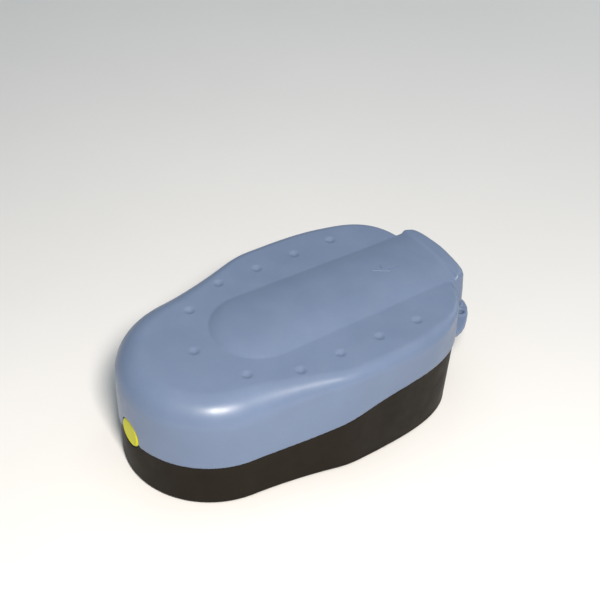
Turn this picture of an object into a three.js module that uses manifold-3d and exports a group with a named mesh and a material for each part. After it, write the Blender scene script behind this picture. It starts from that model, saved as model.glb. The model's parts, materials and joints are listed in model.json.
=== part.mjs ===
// Portable fence energizer: a two-part weatherproof case with a 12 V battery,
// a pulse circuit, an output transformer and two screw terminals under a rain hood.
// Millimetres, +Z up, nose and power button at -Y, terminals at +Y.
// The origin is on the floor, in the middle of the case.

import * as THREE from 'three';
import { mergeVertices } from 'three/addons/utils/BufferGeometryUtils.js';
import Module from 'manifold-3d';

const wasm = await Module();
wasm.setup();

// ---------------------------------------------------------------- driving dimensions

// plan of the case: a small front lobe, a larger rear lobe and a shallow waist
const FRONT_Y = -65;
const FRONT_R = 63;
const REAR_Y = 9;
const REAR_R = 76;
const WAIST_R = 300;
const REAR_REACH = 103;
const REAR_POWER = 3.15;

// heights
const FOOT_PROUD = 1.5;
const TOP_Z = 85.5;
const PARTING_FRONT_Z = 34.8;
const PARTING_REAR_Z = 56.5;
const PARTING_MID_Y = -1.5;
const PARTING_SPREAD = 17;

// case walls
const SHOULDER_FRONT_R = 18.7;
const SHOULDER_REAR_R = 8;
const SHOULDER_END_R = 2.5;
const COVER_WALL = 2.8;
const BASE_WALL = 3;
const BASE_REVEAL = 1;
const BASE_DRAFT = 3;
const FLOOR_THICK = 2.5;
const SHADOW_GAP = 0.6;
const FLOOR_Z = FOOT_PROUD + FLOOR_THICK;
const GAP = 0.3;

// low crowned tongue standing out of the top
const TONGUE_FRONT_Y = -28;
const TONGUE_END_Y = 114;
const TONGUE_HALF = 33;
const TONGUE_HALF_END = 30;
const TONGUE_RISE = 3.4;

// rain hood and hanging ears
const HOOD_HALF = 32.6;
const HOOD_REAR_Y = 128;
const HOOD_WALL = 2.5;
const HOOD_CEILING_Z = 79;
const HOOD_RIM = 1.3;
const EAR_THICK = 3.5;
const EAR_Z = 54.2;
const EAR_HOLE_R = 2.5;
const EAR_HOLE_X = 36.5;
const EAR_HOLE_Y = 117.5;

// grip dimples in the top
const DIMPLE_R = 3.6;
const DIMPLE_DEPTH = 0.9;
const DIMPLE_HALF = 52;
const DIMPLE_PITCH = 31;
const DIMPLE_LAST_Y = 65;
const DIMPLE_ARC_Y = -28;
const DIMPLE_ARC_R = 48.6;

// power button
const BUTTON_Z = 38;
const BUTTON_R = 10.4;
const BUTTON_HOLE_R = 10.9;
const BUTTON_FACE_Y = -126.9;

// terminals and socket
const TERMINAL_Z = 31;
const TERMINAL_X = 22;
const PAD_Y = 112;
const PAD_INNER_Y = 104.5;
const STUD_R = 3;

// battery and circuit
const BATTERY = { halfWidth: 45, front: -86, rear: 15, bottom: 4.6, top: 74.6 };
const BOARD = { halfWidth: 46, front: 26, rear: 72, bottom: 16, thick: 1.6 };
const SCREW_BOSS_INSET = 12.5;

// ---------------------------------------------------------------- materials

function plastic(colour, roughness) {
  return new THREE.MeshStandardMaterial({ color: colour, roughness, metalness: 0 });
}

function metal(colour, roughness) {
  return new THREE.MeshStandardMaterial({ color: colour, roughness, metalness: 1 });
}

const looks = {
  cover: plastic(0x8296b4, 0.42),
  base: plastic(0x2b2825, 0.5),
  yellow: plastic(0xc8c81e, 0.35),
  rubber: plastic(0x1a1a1a, 0.85),
  foam: plastic(0x3a3a3c, 0.95),
  black: plastic(0x161616, 0.5),
  red: plastic(0xb3201c, 0.4),
  green: plastic(0x2f7d3a, 0.4),
  board: plastic(0x1f5a34, 0.45),
  blueBox: plastic(0x27508c, 0.4),
  sleeve: plastic(0x20242c, 0.35),
  grey: plastic(0x6f7478, 0.5),
  cream: plastic(0xd8d2c0, 0.5),
  orange: plastic(0xd26a1e, 0.4),
  lens: plastic(0x7fd44a, 0.15),
  steel: metal(0xb9bcc0, 0.35),
  darkSteel: metal(0x5c5f63, 0.5),
  brass: metal(0xc9a24a, 0.35),
  copper: metal(0xa85a2a, 0.4),
  aluminium: metal(0xa9adb2, 0.45),
};

// ---------------------------------------------------------------- solid helpers

function toSolid(geometry) {
  const plain = geometry.index ? geometry.toNonIndexed() : geometry.clone();
  plain.deleteAttribute('normal');
  plain.deleteAttribute('uv');
  const merged = mergeVertices(plain, 1e-4);
  return new wasm.Manifold(new wasm.Mesh({
    numProp: 3,
    vertProperties: new Float32Array(merged.attributes.position.array),
    triVerts: new Uint32Array(merged.index.array),
  }));
}

function toGeometry(solid) {
  const mesh = solid.getMesh();
  const geometry = new THREE.BufferGeometry();
  geometry.setAttribute('position', new THREE.BufferAttribute(new Float32Array(mesh.vertProperties), 3));
  geometry.setIndex(new THREE.BufferAttribute(new Uint32Array(mesh.triVerts), 1));
  geometry.computeVertexNormals();
  return geometry;
}

function join(...geometries) {
  return toGeometry(geometries.map(toSolid).reduce((a, b) => a.add(b)));
}

function cut(body, ...tools) {
  return toGeometry(tools.map(toSolid).reduce((a, b) => a.subtract(b), toSolid(body)));
}

function common(a, b) {
  return toGeometry(toSolid(a).intersect(toSolid(b)));
}

// box from its lowest corner to its highest corner
function block(x0, x1, y0, y1, z0, z1) {
  const box = new THREE.BoxGeometry(x1 - x0, y1 - y0, z1 - z0);
  return box.translate((x0 + x1) / 2, (y0 + y1) / 2, (z0 + z1) / 2);
}

// profile of [radius, height] pairs turned about the Z axis
function turned(profile, segments = 24) {
  return new THREE.LatheGeometry(profile.map(([r, h]) => new THREE.Vector2(r, h)), segments)
    .rotateX(Math.PI / 2);
}

// the same, with its axis along +Y through x, z
function turnedAlongY(profile, x, z, segments = 24) {
  return turned(profile, segments).rotateX(-Math.PI / 2).translate(x, 0, z);
}

function rodZ(radius, x, y, z0, z1, segments = 20) {
  return turned([[0, z0], [radius, z0], [radius, z1], [0, z1]], segments).translate(x, y, 0);
}

function rodY(radius, x, z, y0, y1, segments = 20) {
  return turnedAlongY([[0, y0], [radius, y0], [radius, y1], [0, y1]], x, z, segments);
}

function rodX(radius, y, z, x0, x1, segments = 12) {
  return rodZ(radius, 0, 0, x0, x1, segments).rotateY(Math.PI / 2).translate(0, y, z);
}

// ring along Y with a bore
function sleeveY(outer, bore, x, z, y0, y1, segments = 24) {
  return cut(rodY(outer, x, z, y0, y1, segments), rodY(bore, x, z, y0 - 1, y1 + 1, segments));
}

// six-sided nut along Y
function nutY(acrossFlats, bore, x, z, y0, y1) {
  const corner = acrossFlats / Math.sqrt(3);
  return cut(rodY(corner, x, z, y0, y1, 6), rodY(bore, x, z, y0 - 1, y1 + 1, 16));
}

function flatShape(points) {
  return new THREE.Shape(points.map(([x, y]) => new THREE.Vector2(x, y)));
}

function plate(shape, z0, z1, curveSegments = 10) {
  return new THREE.ExtrudeGeometry(shape, { depth: z1 - z0, bevelEnabled: false, curveSegments })
    .translate(0, 0, z0);
}

// insulated wire through a list of points
function wire(points, radius, steps = 16) {
  const section = new THREE.Shape();
  section.absarc(0, 0, radius, 0, 2 * Math.PI);
  const path = new THREE.CatmullRomCurve3(points.map((p) => new THREE.Vector3(...p)));
  return new THREE.ExtrudeGeometry(section, { steps, extrudePath: path, curveSegments: 3 });
}

// ---------------------------------------------------------------- plan of the case

function smoothstep(y, start, end) {
  const t = Math.min(Math.max((y - start) / (end - start), 0), 1);
  return t * t * (3 - 2 * t);
}

function arcPoints(cx, cy, radius, from, to, steps, side) {
  const points = [];
  for (let i = 0; i <= steps; i += 1) {
    const a = from + ((to - from) * i) / steps;
    const nx = Math.cos(a);
    const ny = Math.sin(a);
    points.push({ x: cx + radius * nx, y: cy + radius * ny, nx: side * nx, ny: side * ny });
  }
  return points;
}

// right half of the outline from the nose to the rear, each point with its outward normal
function caseOutline() {
  const toFront = FRONT_R + WAIST_R;
  const toRear = REAR_R + WAIST_R;
  const lobeGap = REAR_Y - FRONT_Y;
  const along = (toFront ** 2 - toRear ** 2 + lobeGap ** 2) / (2 * lobeGap);
  const waistX = Math.sqrt(toFront ** 2 - along ** 2);
  const waistY = FRONT_Y + along;
  const frontTangent = Math.atan2(waistY - FRONT_Y, waistX);
  const rearTangent = Math.atan2(waistY - REAR_Y, waistX);
  const front = arcPoints(0, FRONT_Y, FRONT_R, -Math.PI / 2, frontTangent, 9, 1);
  const waist = arcPoints(waistX, waistY, WAIST_R, Math.PI + frontTangent, Math.PI + rearTangent, 3, -1);
  const rear = arcPoints(0, REAR_Y, REAR_R, rearTangent, 0, 2, 1);
  const tail = [];
  const tailSteps = 11;
  for (let i = 1; i <= tailSteps; i += 1) {
    const a = (Math.PI / 2) * (i / tailSteps);
    const c = Math.cos(a) / REAR_R;
    const s = Math.sin(a) / REAR_REACH;
    const r = (Math.abs(c) ** REAR_POWER + s ** REAR_POWER) ** (-1 / REAR_POWER);
    const nx = Math.abs(c) ** (REAR_POWER - 1) / REAR_R;
    const ny = s ** (REAR_POWER - 1) / REAR_REACH;
    const size = Math.hypot(nx, ny);
    tail.push({ x: r * Math.cos(a), y: REAR_Y + r * Math.sin(a), nx: nx / size, ny: ny / size });
  }
  const half = [...front, ...waist.slice(1), ...rear.slice(1), ...tail];
  for (const end of [half[0], half[half.length - 1]]) {
    end.x = 0;
    end.nx = 0;
  }
  return half;
}

const outline = caseOutline();

function partingZ(y) {
  const rise = PARTING_REAR_Z - PARTING_FRONT_Z;
  return PARTING_FRONT_Z + rise / (1 + Math.exp(-(y - PARTING_MID_Y) / PARTING_SPREAD));
}

function shoulderR(y) {
  const body = SHOULDER_FRONT_R + (SHOULDER_REAR_R - SHOULDER_FRONT_R) * smoothstep(y, -85, REAR_Y);
  return body + (SHOULDER_END_R - SHOULDER_REAR_R) * smoothstep(y, 66, 108);
}

function draft(y) {
  return BASE_DRAFT * smoothstep(y, FRONT_Y, REAR_Y + 60);
}

// one half ring of the case: inset and height may change along the outline
function ring(inset, height) {
  return outline.map((p) => {
    const d = inset(p.y);
    return [p.x - p.nx * d, p.y - p.ny * d, height(p.y)];
  });
}

// Closed solid through half rings from bottom to top. Each half ring runs from low y to high y
// at x >= 0 and is mirrored, and the first and last rings are closed by strips across.
function loft(rings) {
  const positions = [];
  const count = rings[0].length;
  const right = [];
  const left = [];
  rings.forEach((points, k) => {
    right.push([]);
    left.push([]);
    points.forEach(([x, y, z]) => {
      right[k].push(positions.length / 3);
      positions.push(x, y, z);
      left[k].push(x === 0 ? right[k].at(-1) : positions.length / 3);
      if (x !== 0) positions.push(-x, y, z);
    });
  });
  const faces = [];
  const quad = (a, b, c, d) => {
    if (a !== b && b !== c && a !== c) faces.push(a, b, c);
    if (a !== c && c !== d && a !== d) faces.push(a, c, d);
  };
  const last = count - 1;
  for (let k = 0; k < rings.length - 1; k += 1) {
    for (let i = 0; i < last; i += 1) {
      quad(right[k][i], right[k][i + 1], right[k + 1][i + 1], right[k + 1][i]);
      quad(left[k][i + 1], left[k][i], left[k + 1][i], left[k + 1][i + 1]);
    }
    quad(left[k][0], right[k][0], right[k + 1][0], left[k + 1][0]);
    quad(right[k][last], left[k][last], left[k + 1][last], right[k + 1][last]);
  }
  const top = rings.length - 1;
  for (let i = 0; i < last; i += 1) {
    quad(left[top][i], right[top][i], right[top][i + 1], left[top][i + 1]);
    quad(right[0][i], left[0][i], left[0][i + 1], right[0][i + 1]);
  }
  const geometry = new THREE.BufferGeometry();
  geometry.setAttribute('position', new THREE.BufferAttribute(new Float32Array(positions), 3));
  geometry.setIndex(faces);
  return geometry;
}

// ---------------------------------------------------------------- top cover

// height of the tongue's skin over the flat of the top, `share` of the way out to its edge
function crown(share) {
  return TONGUE_RISE * (1 - share * share);
}

// the tongue as a solid, or a form `wall` inside it, running rearwards to `reach`
function tongueForm(wall, reach) {
  const frontSteps = 8;
  const run = (reach - TONGUE_FRONT_Y) / (TONGUE_END_Y - TONGUE_FRONT_Y);
  const tip = (share, z) => {
    const points = [];
    const r = (TONGUE_HALF - wall) * share;
    for (let i = 0; i <= frontSteps; i += 1) {
      const a = (Math.PI / 2) * (i / frontSteps);
      points.push([i === 0 ? 0 : r * Math.sin(a), TONGUE_FRONT_Y - r * Math.cos(a), z]);
    }
    points.push([r - (TONGUE_HALF - TONGUE_HALF_END) * run * share, reach, z]);
    return points;
  };
  const level = TOP_Z - wall;
  return loft([
    tip(1, TOP_Z - 6),
    ...[1, 0.85, 0.7, 0.5, 0.3, 0.1].map((share) => tip(share, level + crown(share))),
  ]);
}

// the cover's outer form with its tongue, or a form inside it by `wall`
function coverForm(wall, below, shoulderSteps) {
  const rings = [ring(() => wall, (y) => partingZ(y) - below)];
  for (let i = 0; i <= shoulderSteps; i += 1) {
    const a = (Math.PI / 2) * (i / shoulderSteps);
    const radius = (y) => Math.max(shoulderR(y) - wall, 0.5);
    rings.push(ring(
      (y) => wall + radius(y) * (1 - Math.cos(a)),
      (y) => TOP_Z - wall - radius(y) * (1 - Math.sin(a)),
    ));
  }
  return join(loft(rings), tongueForm(wall, wall > 0 ? TONGUE_END_Y - 6 : TONGUE_END_Y + 4));
}

function hoodRing(inset, z) {
  const half = HOOD_HALF - inset;
  const rear = HOOD_REAR_Y - inset;
  return [
    [half, 100, z],
    [half, rear - 11, z],
    [half - 1.8, rear - 7, z],
    [half - 5.5, rear - 4, z],
    [half - 11.2, rear - 2, z],
    [half / 2 - 5, rear - 0.7, z],
    [0, rear, z],
  ];
}

// the hood's top follows the tongue's crown and stands a rim above it
function hoodOuter() {
  const mass = loft([
    hoodRing(0, PARTING_REAR_Z),
    hoodRing(0.6, TOP_Z - 7),
    hoodRing(1.4, TOP_Z - 2),
    hoodRing(2.6, TOP_Z + 1),
    hoodRing(5.2, TOP_Z + 4),
    hoodRing(7.5, TOP_Z + 6),
  ]);
  const under = [];
  for (let i = -6; i <= 6; i += 1) {
    under.push([i * 6, TOP_Z + HOOD_RIM + crown((i * 6) / TONGUE_HALF)]);
  }
  const lid = plate(flatShape([[36, 0], ...under.reverse(), [-36, 0]]), 90, 140)
    .rotateX(Math.PI / 2).translate(0, 230, 0);
  return common(mass, lid);
}

function hoodCavity() {
  const space = loft([
    hoodRing(HOOD_WALL, PARTING_REAR_Z - 5),
    hoodRing(HOOD_WALL + 0.6, HOOD_CEILING_Z),
  ]);
  return common(space, block(-40, 40, PAD_Y + GAP, 140, 0, 90));
}

function ear(side) {
  const shape = flatShape([
    [20, 104], [50, 94], [53.5, 98], [52.4, 104.5], [48.9, 111.5], [44, 117.2],
    [39, 121.9], [34.5, 125], [29.5, 127.2], [22.7, 127.6], [20, 122],
  ]);
  const tab = plate(shape, EAR_Z, EAR_Z + EAR_THICK);
  const collar = rodZ(EAR_HOLE_R + 2.2, EAR_HOLE_X, EAR_HOLE_Y, EAR_Z, EAR_Z + EAR_THICK + 0.8, 16);
  const hole = rodZ(EAR_HOLE_R, EAR_HOLE_X, EAR_HOLE_Y, EAR_Z - 1, EAR_Z + EAR_THICK + 2, 16);
  const solid = cut(join(tab, collar), hole, hoodCavity());
  return side > 0 ? solid : mirrorX(solid);
}

function mirrorX(geometry) {
  const flipped = geometry.clone().scale(-1, 1, 1);
  const index = flipped.index.array;
  for (let i = 0; i < index.length; i += 3) {
    [index[i], index[i + 1]] = [index[i + 1], index[i]];
  }
  return flipped;
}

function dimplePlaces() {
  const places = [];
  for (let i = 0; i < 4; i += 1) {
    const y = DIMPLE_LAST_Y - i * DIMPLE_PITCH;
    places.push([DIMPLE_HALF, y], [-DIMPLE_HALF, y]);
  }
  for (const a of [-50, 0, 50]) {
    const turn = (a * Math.PI) / 180;
    places.push([DIMPLE_ARC_R * Math.sin(turn), DIMPLE_ARC_Y - DIMPLE_ARC_R * Math.cos(turn)]);
  }
  return places;
}

function dimple(x, y) {
  return turned([[0, TOP_Z - DIMPLE_DEPTH], [DIMPLE_R * 0.6, TOP_Z - DIMPLE_DEPTH * 0.65],
    [DIMPLE_R, TOP_Z], [DIMPLE_R, TOP_Z + 2], [0, TOP_Z + 2]], 10).translate(x, y, 0);
}

// generic lightning bolt standing on the tongue's crest
function boltMark() {
  const shape = flatShape([[3, 10], [-5, -1.5], [-0.8, -1.5], [-3, -10], [5, 1.5], [0.8, 1.5]]);
  const crest = TOP_Z + TONGUE_RISE;
  return plate(shape, crest - 0.9, crest + 0.5).translate(0, 76, 0);
}

// screw bosses stand inside the wall at these outline points (both sides)
const bossPoints = [5, 14, 20].map((i) => {
  const p = outline[i];
  const x = p.x - p.nx * SCREW_BOSS_INSET;
  const y = p.y - p.ny * SCREW_BOSS_INSET;
  return { x, y, join: partingZ(y + 6) - 12 };
}).flatMap((p) => [p, { ...p, x: -p.x }]);

function buttonHole(radius) {
  return rodY(radius, 0, BUTTON_Z, -140, -116, 20);
}

function topCover() {
  const outer = coverForm(0, 0, 4);
  const middle = coverForm(COVER_WALL / 2, 16, 3);
  const inner = coverForm(COVER_WALL, 6, 3);
  const bosses = bossPoints.map((b) => (
    common(rodZ(4.6, b.x, b.y, b.join + GAP, TOP_Z, 14), middle)
  ));
  const pilots = bossPoints.map((b) => rodZ(1.9, b.x, b.y, b.join - 1, b.join + 18, 10));
  const shell = cut(outer, inner);
  const ahead = block(-45, 45, 90, TONGUE_END_Y, TOP_Z, TOP_Z + 10);
  const hood = cut(hoodOuter(), hoodCavity(), coverForm(1, 3, 3), ahead);
  const clear = loft([
    ring(() => BASE_REVEAL - 0.6, () => 40),
    ring(() => BASE_REVEAL - 0.6, (y) => partingZ(y)),
  ]);
  const ears = [cut(ear(1), clear, inner), cut(ear(-1), clear, inner)];
  const dimples = dimplePlaces().map(([x, y]) => dimple(x, y));
  const whole = join(shell, hood, ...ears, ...bosses, boltMark());
  return cut(whole, buttonHole(BUTTON_HOLE_R), ...pilots, ...dimples);
}

// ---------------------------------------------------------------- base shell

function baseForm(wall, bottom, topZ) {
  const edge = Math.max(3 - wall, 0.5);
  return loft([
    ring((y) => BASE_REVEAL + draft(y) + wall + edge * 0.7, () => bottom),
    ring((y) => BASE_REVEAL + draft(y) + wall, () => bottom + edge),
    ring(() => BASE_REVEAL + wall, topZ),
  ]);
}

const boardPosts = [[-1, 0], [1, 0], [-1, 1], [1, 1]].map(([sx, sy]) => ({
  x: sx * (BOARD.halfWidth - 3.5),
  y: sy ? BOARD.rear - 3.5 : BOARD.front + 3.5,
}));

const strapPosts = [-1, 1].map((side) => ({ x: side * 53, y: -32 }));

const FRONT_BOARD_Y = -99.8;

function baseShell() {
  const outer = baseForm(0, FOOT_PROUD, (y) => partingZ(y) - SHADOW_GAP);
  const inner = baseForm(BASE_WALL, FLOOR_Z, (y) => partingZ(y) + 8);
  const ledge = loft([
    ring(() => BASE_REVEAL + 1.4, (y) => partingZ(y) - 3),
    ring(() => BASE_REVEAL + 1.4, (y) => partingZ(y) + 8),
  ]);
  const bosses = bossPoints.map((b) => rodZ(6, b.x, b.y, FLOOR_Z - 1, b.join, 16));
  const pad = block(-33, 33, PAD_INNER_Y, PAD_Y, 12, 50);
  const posts = boardPosts.map((p) => rodZ(3.6, p.x, p.y, FLOOR_Z - 1, BOARD.bottom - GAP, 12));
  const strapBosses = strapPosts.map((p) => rodZ(3.6, p.x, p.y, FLOOR_Z - 1, FLOOR_Z + 4, 12));
  const b = BATTERY;
  const ribs = [
    block(-20, 20, b.front - 2.5, b.front - 0.5, FLOOR_Z - 1, 16),
    block(-20, 20, b.rear + 0.5, b.rear + 2.5, FLOOR_Z - 1, 16),
  ];
  for (const side of [-1, 1]) {
    for (const y of [-66, 0]) {
      const x = side * (b.halfWidth + 1.5);
      ribs.push(block(x - 1, x + 1, y - 9, y + 9, FLOOR_Z - 1, 16));
    }
    const x = side * 18.4;
    ribs.push(block(x - 2.4, x + 2.4, FRONT_BOARD_Y - 3, FRONT_BOARD_Y + 3, FLOOR_Z - 1, 40));
  }
  const saddle = block(-9, 9, -119, -110, FLOOR_Z - 1, 26);
  const bearers = [-1, 1].map((side) => (
    block(side * 27 - 4, side * 27 + 4, 82, 90, FLOOR_Z - 1, 8)
  ));
  const shell = cut(outer, inner, ledge);
  const whole = join(shell, ...bosses, pad, ...posts, ...strapBosses, ...ribs, saddle, ...bearers);
  const bores = bossPoints.flatMap((p) => [
    rodZ(4.4, p.x, p.y, 0, p.join - 6, 16),
    rodZ(2.2, p.x, p.y, 0, p.join + 2, 12),
  ]);
  const pilots = [
    ...boardPosts.map((p) => rodZ(1.4, p.x, p.y, FLOOR_Z + 1, 20, 8)),
    ...strapPosts.map((p) => rodZ(1.4, p.x, p.y, FLOOR_Z + 0.5, 20, 8)),
    rodZ(1.4, -27, 86, 3.6, 12, 8),
    rodZ(1.4, 27, 86, 3.6, 12, 8),
  ];
  const slot = block(-17.2, 17.2, FRONT_BOARD_Y - 1.1, FRONT_BOARD_Y + 1.1, FLOOR_Z + 4, 60);
  const guideSeat = rodY(15, 0, BUTTON_Z, -122.2, -105, 20);
  const wallHoles = [
    rodY(STUD_R + 0.3, -TERMINAL_X, TERMINAL_Z, 90, 120, 16),
    rodY(STUD_R + 0.3, TERMINAL_X, TERMINAL_Z, 90, 120, 16),
    rodY(6.3, 0, TERMINAL_Z, 90, 120, 20),
  ];
  const footSeats = footPlaces.map(([x, y]) => rodZ(8.3, x, y, 0, FOOT_PROUD + 1, 20));
  return cut(whole, buttonHole(BUTTON_HOLE_R), ...bores, ...pilots, slot, guideSeat,
    ...wallHoles, ...footSeats);
}

const footPlaces = [[-32, -82], [32, -82], [-48, 62], [48, 62]];

function sealGasket() {
  const outer = loft([
    ring(() => 2.7, (y) => partingZ(y) - 2.7),
    ring(() => 2.7, (y) => partingZ(y) - GAP),
  ]);
  const inner = loft([
    ring(() => 3.9, (y) => partingZ(y) - 5),
    ring(() => 3.9, (y) => partingZ(y) + 5),
  ]);
  return cut(outer, inner, rodY(13.2, 0, BUTTON_Z, -140, -100, 20));
}

// ---------------------------------------------------------------- power button group

function powerButton() {
  const y = BUTTON_FACE_Y;
  return turnedAlongY([
    [0, y - 0.5], [6, y - 0.35], [BUTTON_R - 0.9, y + 0.1], [BUTTON_R, y + 0.9],
    [BUTTON_R, y + 1.5], [9.6, y + 1.5], [9.6, y + 2.9], [BUTTON_R, y + 2.9],
    [BUTTON_R, -122.2], [12, -122.2], [12, -120.6], [BUTTON_R, -120.6], [BUTTON_R, -117.5],
    [8.4, -117.5], [8.4, -124], [2.6, -124], [2.6, -111.6], [0, -111.6],
  ], 0, BUTTON_Z, 20);
}

function buttonRing() {
  const y = BUTTON_FACE_Y;
  return turnedAlongY([
    [9.9, y + 1.8], [10.65, y + 1.8], [10.75, y + 2.2], [10.65, y + 2.6], [9.9, y + 2.6],
    [9.9, y + 1.8],
  ], 0, BUTTON_Z, 20);
}

function buttonGuide() {
  const tube = cut(
    rodY(14.4, 0, BUTTON_Z, -121.4, -105.6, 20),
    rodY(12.6, 0, BUTTON_Z, -123, -107.6, 20),
  );
  return cut(tube, rodY(2.3, 0, BUTTON_Z, -110, -100, 14), rodY(2.9, 6.8, BUTTON_Z, -110, -100, 14));
}

function buttonSpring() {
  const turns = 3.5;
  const steps = 35;
  const start = -120.1;
  const end = -108.1;
  const points = [];
  for (let i = 0; i <= steps; i += 1) {
    const a = (2 * Math.PI * turns * i) / steps;
    const y = start + ((end - start) * i) / steps;
    points.push([11.4 * Math.cos(a), y, BUTTON_Z + 11.4 * Math.sin(a)]);
  }
  return wire(points, 0.45, steps);
}

const pushSwitch = cut(
  block(-4.2, 4.2, -105.3, FRONT_BOARD_Y - 1.1, BUTTON_Z - 4.2, BUTTON_Z + 4.2),
  rodY(2, 0, BUTTON_Z, -110, -101.6, 12),
);

const switchPlunger = rodY(1.7, 0, BUTTON_Z, -111.3, -104.4, 12);

const pulseLed = turnedAlongY([
  [0, -111], [1.4, -110.7], [2.2, -109.8], [2.5, -108.6], [2.5, FRONT_BOARD_Y - 1.1],
  [0, FRONT_BOARD_Y - 1.1],
], 6.8, BUTTON_Z, 14);

const frontBoard = block(-16.8, 16.8, FRONT_BOARD_Y - 0.8, FRONT_BOARD_Y + 0.8, FLOOR_Z + 4.4, 56);

// ---------------------------------------------------------------- fasteners and feet

// pan-head screw pointing up, head underside at `seat`
function screwUp(x, y, seat, reach) {
  const head = turned([[0, seat - 2.6], [2.6, seat - 2.6], [3.7, seat - 1.4], [3.7, seat],
    [1.7, seat], [1.7, seat + reach - 1], [0.6, seat + reach], [0, seat + reach]], 8);
  const slot = block(-0.5, 0.5, -2.2, 2.2, seat - 3, seat - 1.5);
  const cross = block(-2.2, 2.2, -0.5, 0.5, seat - 3, seat - 1.5);
  return cut(head, slot, cross).translate(x, y, 0);
}

// small screw pointing down, head underside at `seat`
function screwDown(x, y, seat, reach) {
  const body = turned([[0, seat - reach], [1.2, seat - reach], [1.2, seat], [2.8, seat],
    [2.8, seat + 1.2], [1.8, seat + 2], [0, seat + 2]], 10);
  return cut(body, block(-2, 2, -0.4, 0.4, seat + 1, seat + 3)).translate(x, y, 0);
}

function rubberFoot() {
  return turned([[0, 0], [6.8, 0], [8, 0.8], [8, FOOT_PROUD + 0.7], [0, FOOT_PROUD + 0.7]], 14);
}

// ---------------------------------------------------------------- terminals and socket

function terminalStud() {
  return turnedAlongY([
    [0, 96.6], [2.4, 96.6], [STUD_R, 97.2], [STUD_R, 123], [2.4, 123.6], [0, 123.6],
  ], 0, TERMINAL_Z, 16);
}

function clampWasher() {
  return sleeveY(7, STUD_R + 0.3, 0, TERMINAL_Z, PAD_Y + GAP, PAD_Y + 1.6, 20);
}

// hand knob with grip ribs, closed at its outer end
function handKnob() {
  const front = PAD_Y + 1.9;
  const body = turnedAlongY([
    [3.4, front], [6.6, front], [7.2, front + 0.6], [7.2, front + 9.6], [6.2, front + 11.4],
    [0, front + 12], [0, front + 10.4], [3.4, front + 10.4], [3.4, front],
  ], 0, TERMINAL_Z, 16);
  const ribs = [];
  for (let i = 0; i < 8; i += 1) {
    const a = (2 * Math.PI * i) / 8;
    ribs.push(rodY(1.3, 7.1 * Math.cos(a), TERMINAL_Z + 7.1 * Math.sin(a), front + 1, front + 9.2, 6));
  }
  return join(body, ...ribs);
}

const studNut = nutY(10, STUD_R + 0.3, 0, TERMINAL_Z, PAD_INNER_Y - 5, PAD_INNER_Y - GAP);

const LUG_Y = PAD_INNER_Y - 6.2;

function lugRing() {
  const eye = sleeveY(5, STUD_R + 0.3, 0, TERMINAL_Z, LUG_Y, LUG_Y + 0.9, 16);
  return join(eye, block(-2, 2, LUG_Y, LUG_Y + 0.9, TERMINAL_Z + 4.4, TERMINAL_Z + 11));
}

const FLAP_AXIS_Y = 115;
const FLAP_AXIS_Z = TERMINAL_Z + 11.5;

function solarSocket() {
  const y = PAD_Y + GAP;
  const body = turnedAlongY([
    [0, 97], [6, 97], [6, y], [9, y], [9, y + 2], [3.2, y + 2], [3.2, 103], [0, 103],
  ], 0, TERMINAL_Z, 24);
  const lugs = [-4.8, 4.8].flatMap((x) => [
    block(x - 1.2, x + 1.2, y, y + 2, TERMINAL_Z + 6.5, FLAP_AXIS_Z + 2),
    block(x - 1.2, x + 1.2, y, FLAP_AXIS_Y + 2.2, TERMINAL_Z + 8.6, FLAP_AXIS_Z + 2),
  ]);
  return cut(join(body, ...lugs), rodX(1.2, FLAP_AXIS_Y, FLAP_AXIS_Z, -8, 8));
}

const socketPin = rodY(0.9, 0, TERMINAL_Z, 103.3, 111, 10);

const socketNut = nutY(16, 6.3, 0, TERMINAL_Z, PAD_INNER_Y - 3.2, PAD_INNER_Y - GAP);

function socketFlap() {
  const y = PAD_Y + 2.6;
  const disc = turnedAlongY([[0, y], [8.6, y], [8.6, y + 1.2], [7.8, y + 1.8], [0, y + 1.8]],
    0, TERMINAL_Z, 24);
  const barrel = rodX(2, FLAP_AXIS_Y, FLAP_AXIS_Z, -3.3, 3.3, 14);
  const strap = block(-3.3, 3.3, y, y + 1.8, TERMINAL_Z + 6, FLAP_AXIS_Z);
  const tab = block(-3, 3, y + 0.4, y + 1.8, TERMINAL_Z - 10.4, TERMINAL_Z - 7);
  return cut(join(disc, barrel, strap, tab), rodX(1.2, FLAP_AXIS_Y, FLAP_AXIS_Z, -8, 8));
}

const flapPin = rodX(0.9, FLAP_AXIS_Y, FLAP_AXIS_Z, -6, 6, 10);

// ---------------------------------------------------------------- battery

function batteryCase() {
  const b = BATTERY;
  const body = block(-b.halfWidth, b.halfWidth, b.front, b.rear - 6, b.bottom, b.top);
  const lid = block(-b.halfWidth + 0.8, b.halfWidth - 0.8, b.rear - 7, b.rear, b.bottom + 0.8, b.top - 0.8);
  return join(body, lid);
}

function batteryTab(x) {
  const y = BATTERY.rear + GAP;
  return join(block(x - 4, x + 4, y, y + 1.2, 56, 64), block(x - 2.4, x + 2.4, y, y + 6.5, 59.6, 60.4));
}

function batteryStrap() {
  const half = BATTERY.halfWidth + 0.5;
  const y0 = -39;
  const y1 = -25;
  const top = BATTERY.top + 0.4;
  const foot = FLOOR_Z + 4 + GAP;
  const bow = cut(
    block(-half - 1.5, half + 1.5, y0, y1, foot, top + 1.5),
    block(-half, half, y0 - 1, y1 + 1, 0, top),
  );
  const feet = [-1, 1].map((side) => (
    cut(
      block(side * 52.5 - 6, side * 52.5 + 6, y0, y1, foot, foot + 1.5),
      rodZ(1.6, side * 53, -32, 0, 20, 10),
    )
  ));
  return join(bow, ...feet);
}

const foamPad = block(-24, 24, -20, 8, BATTERY.top + GAP, 83.2);

// ---------------------------------------------------------------- circuit

const BOARD_TOP = BOARD.bottom + BOARD.thick + GAP;

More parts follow.
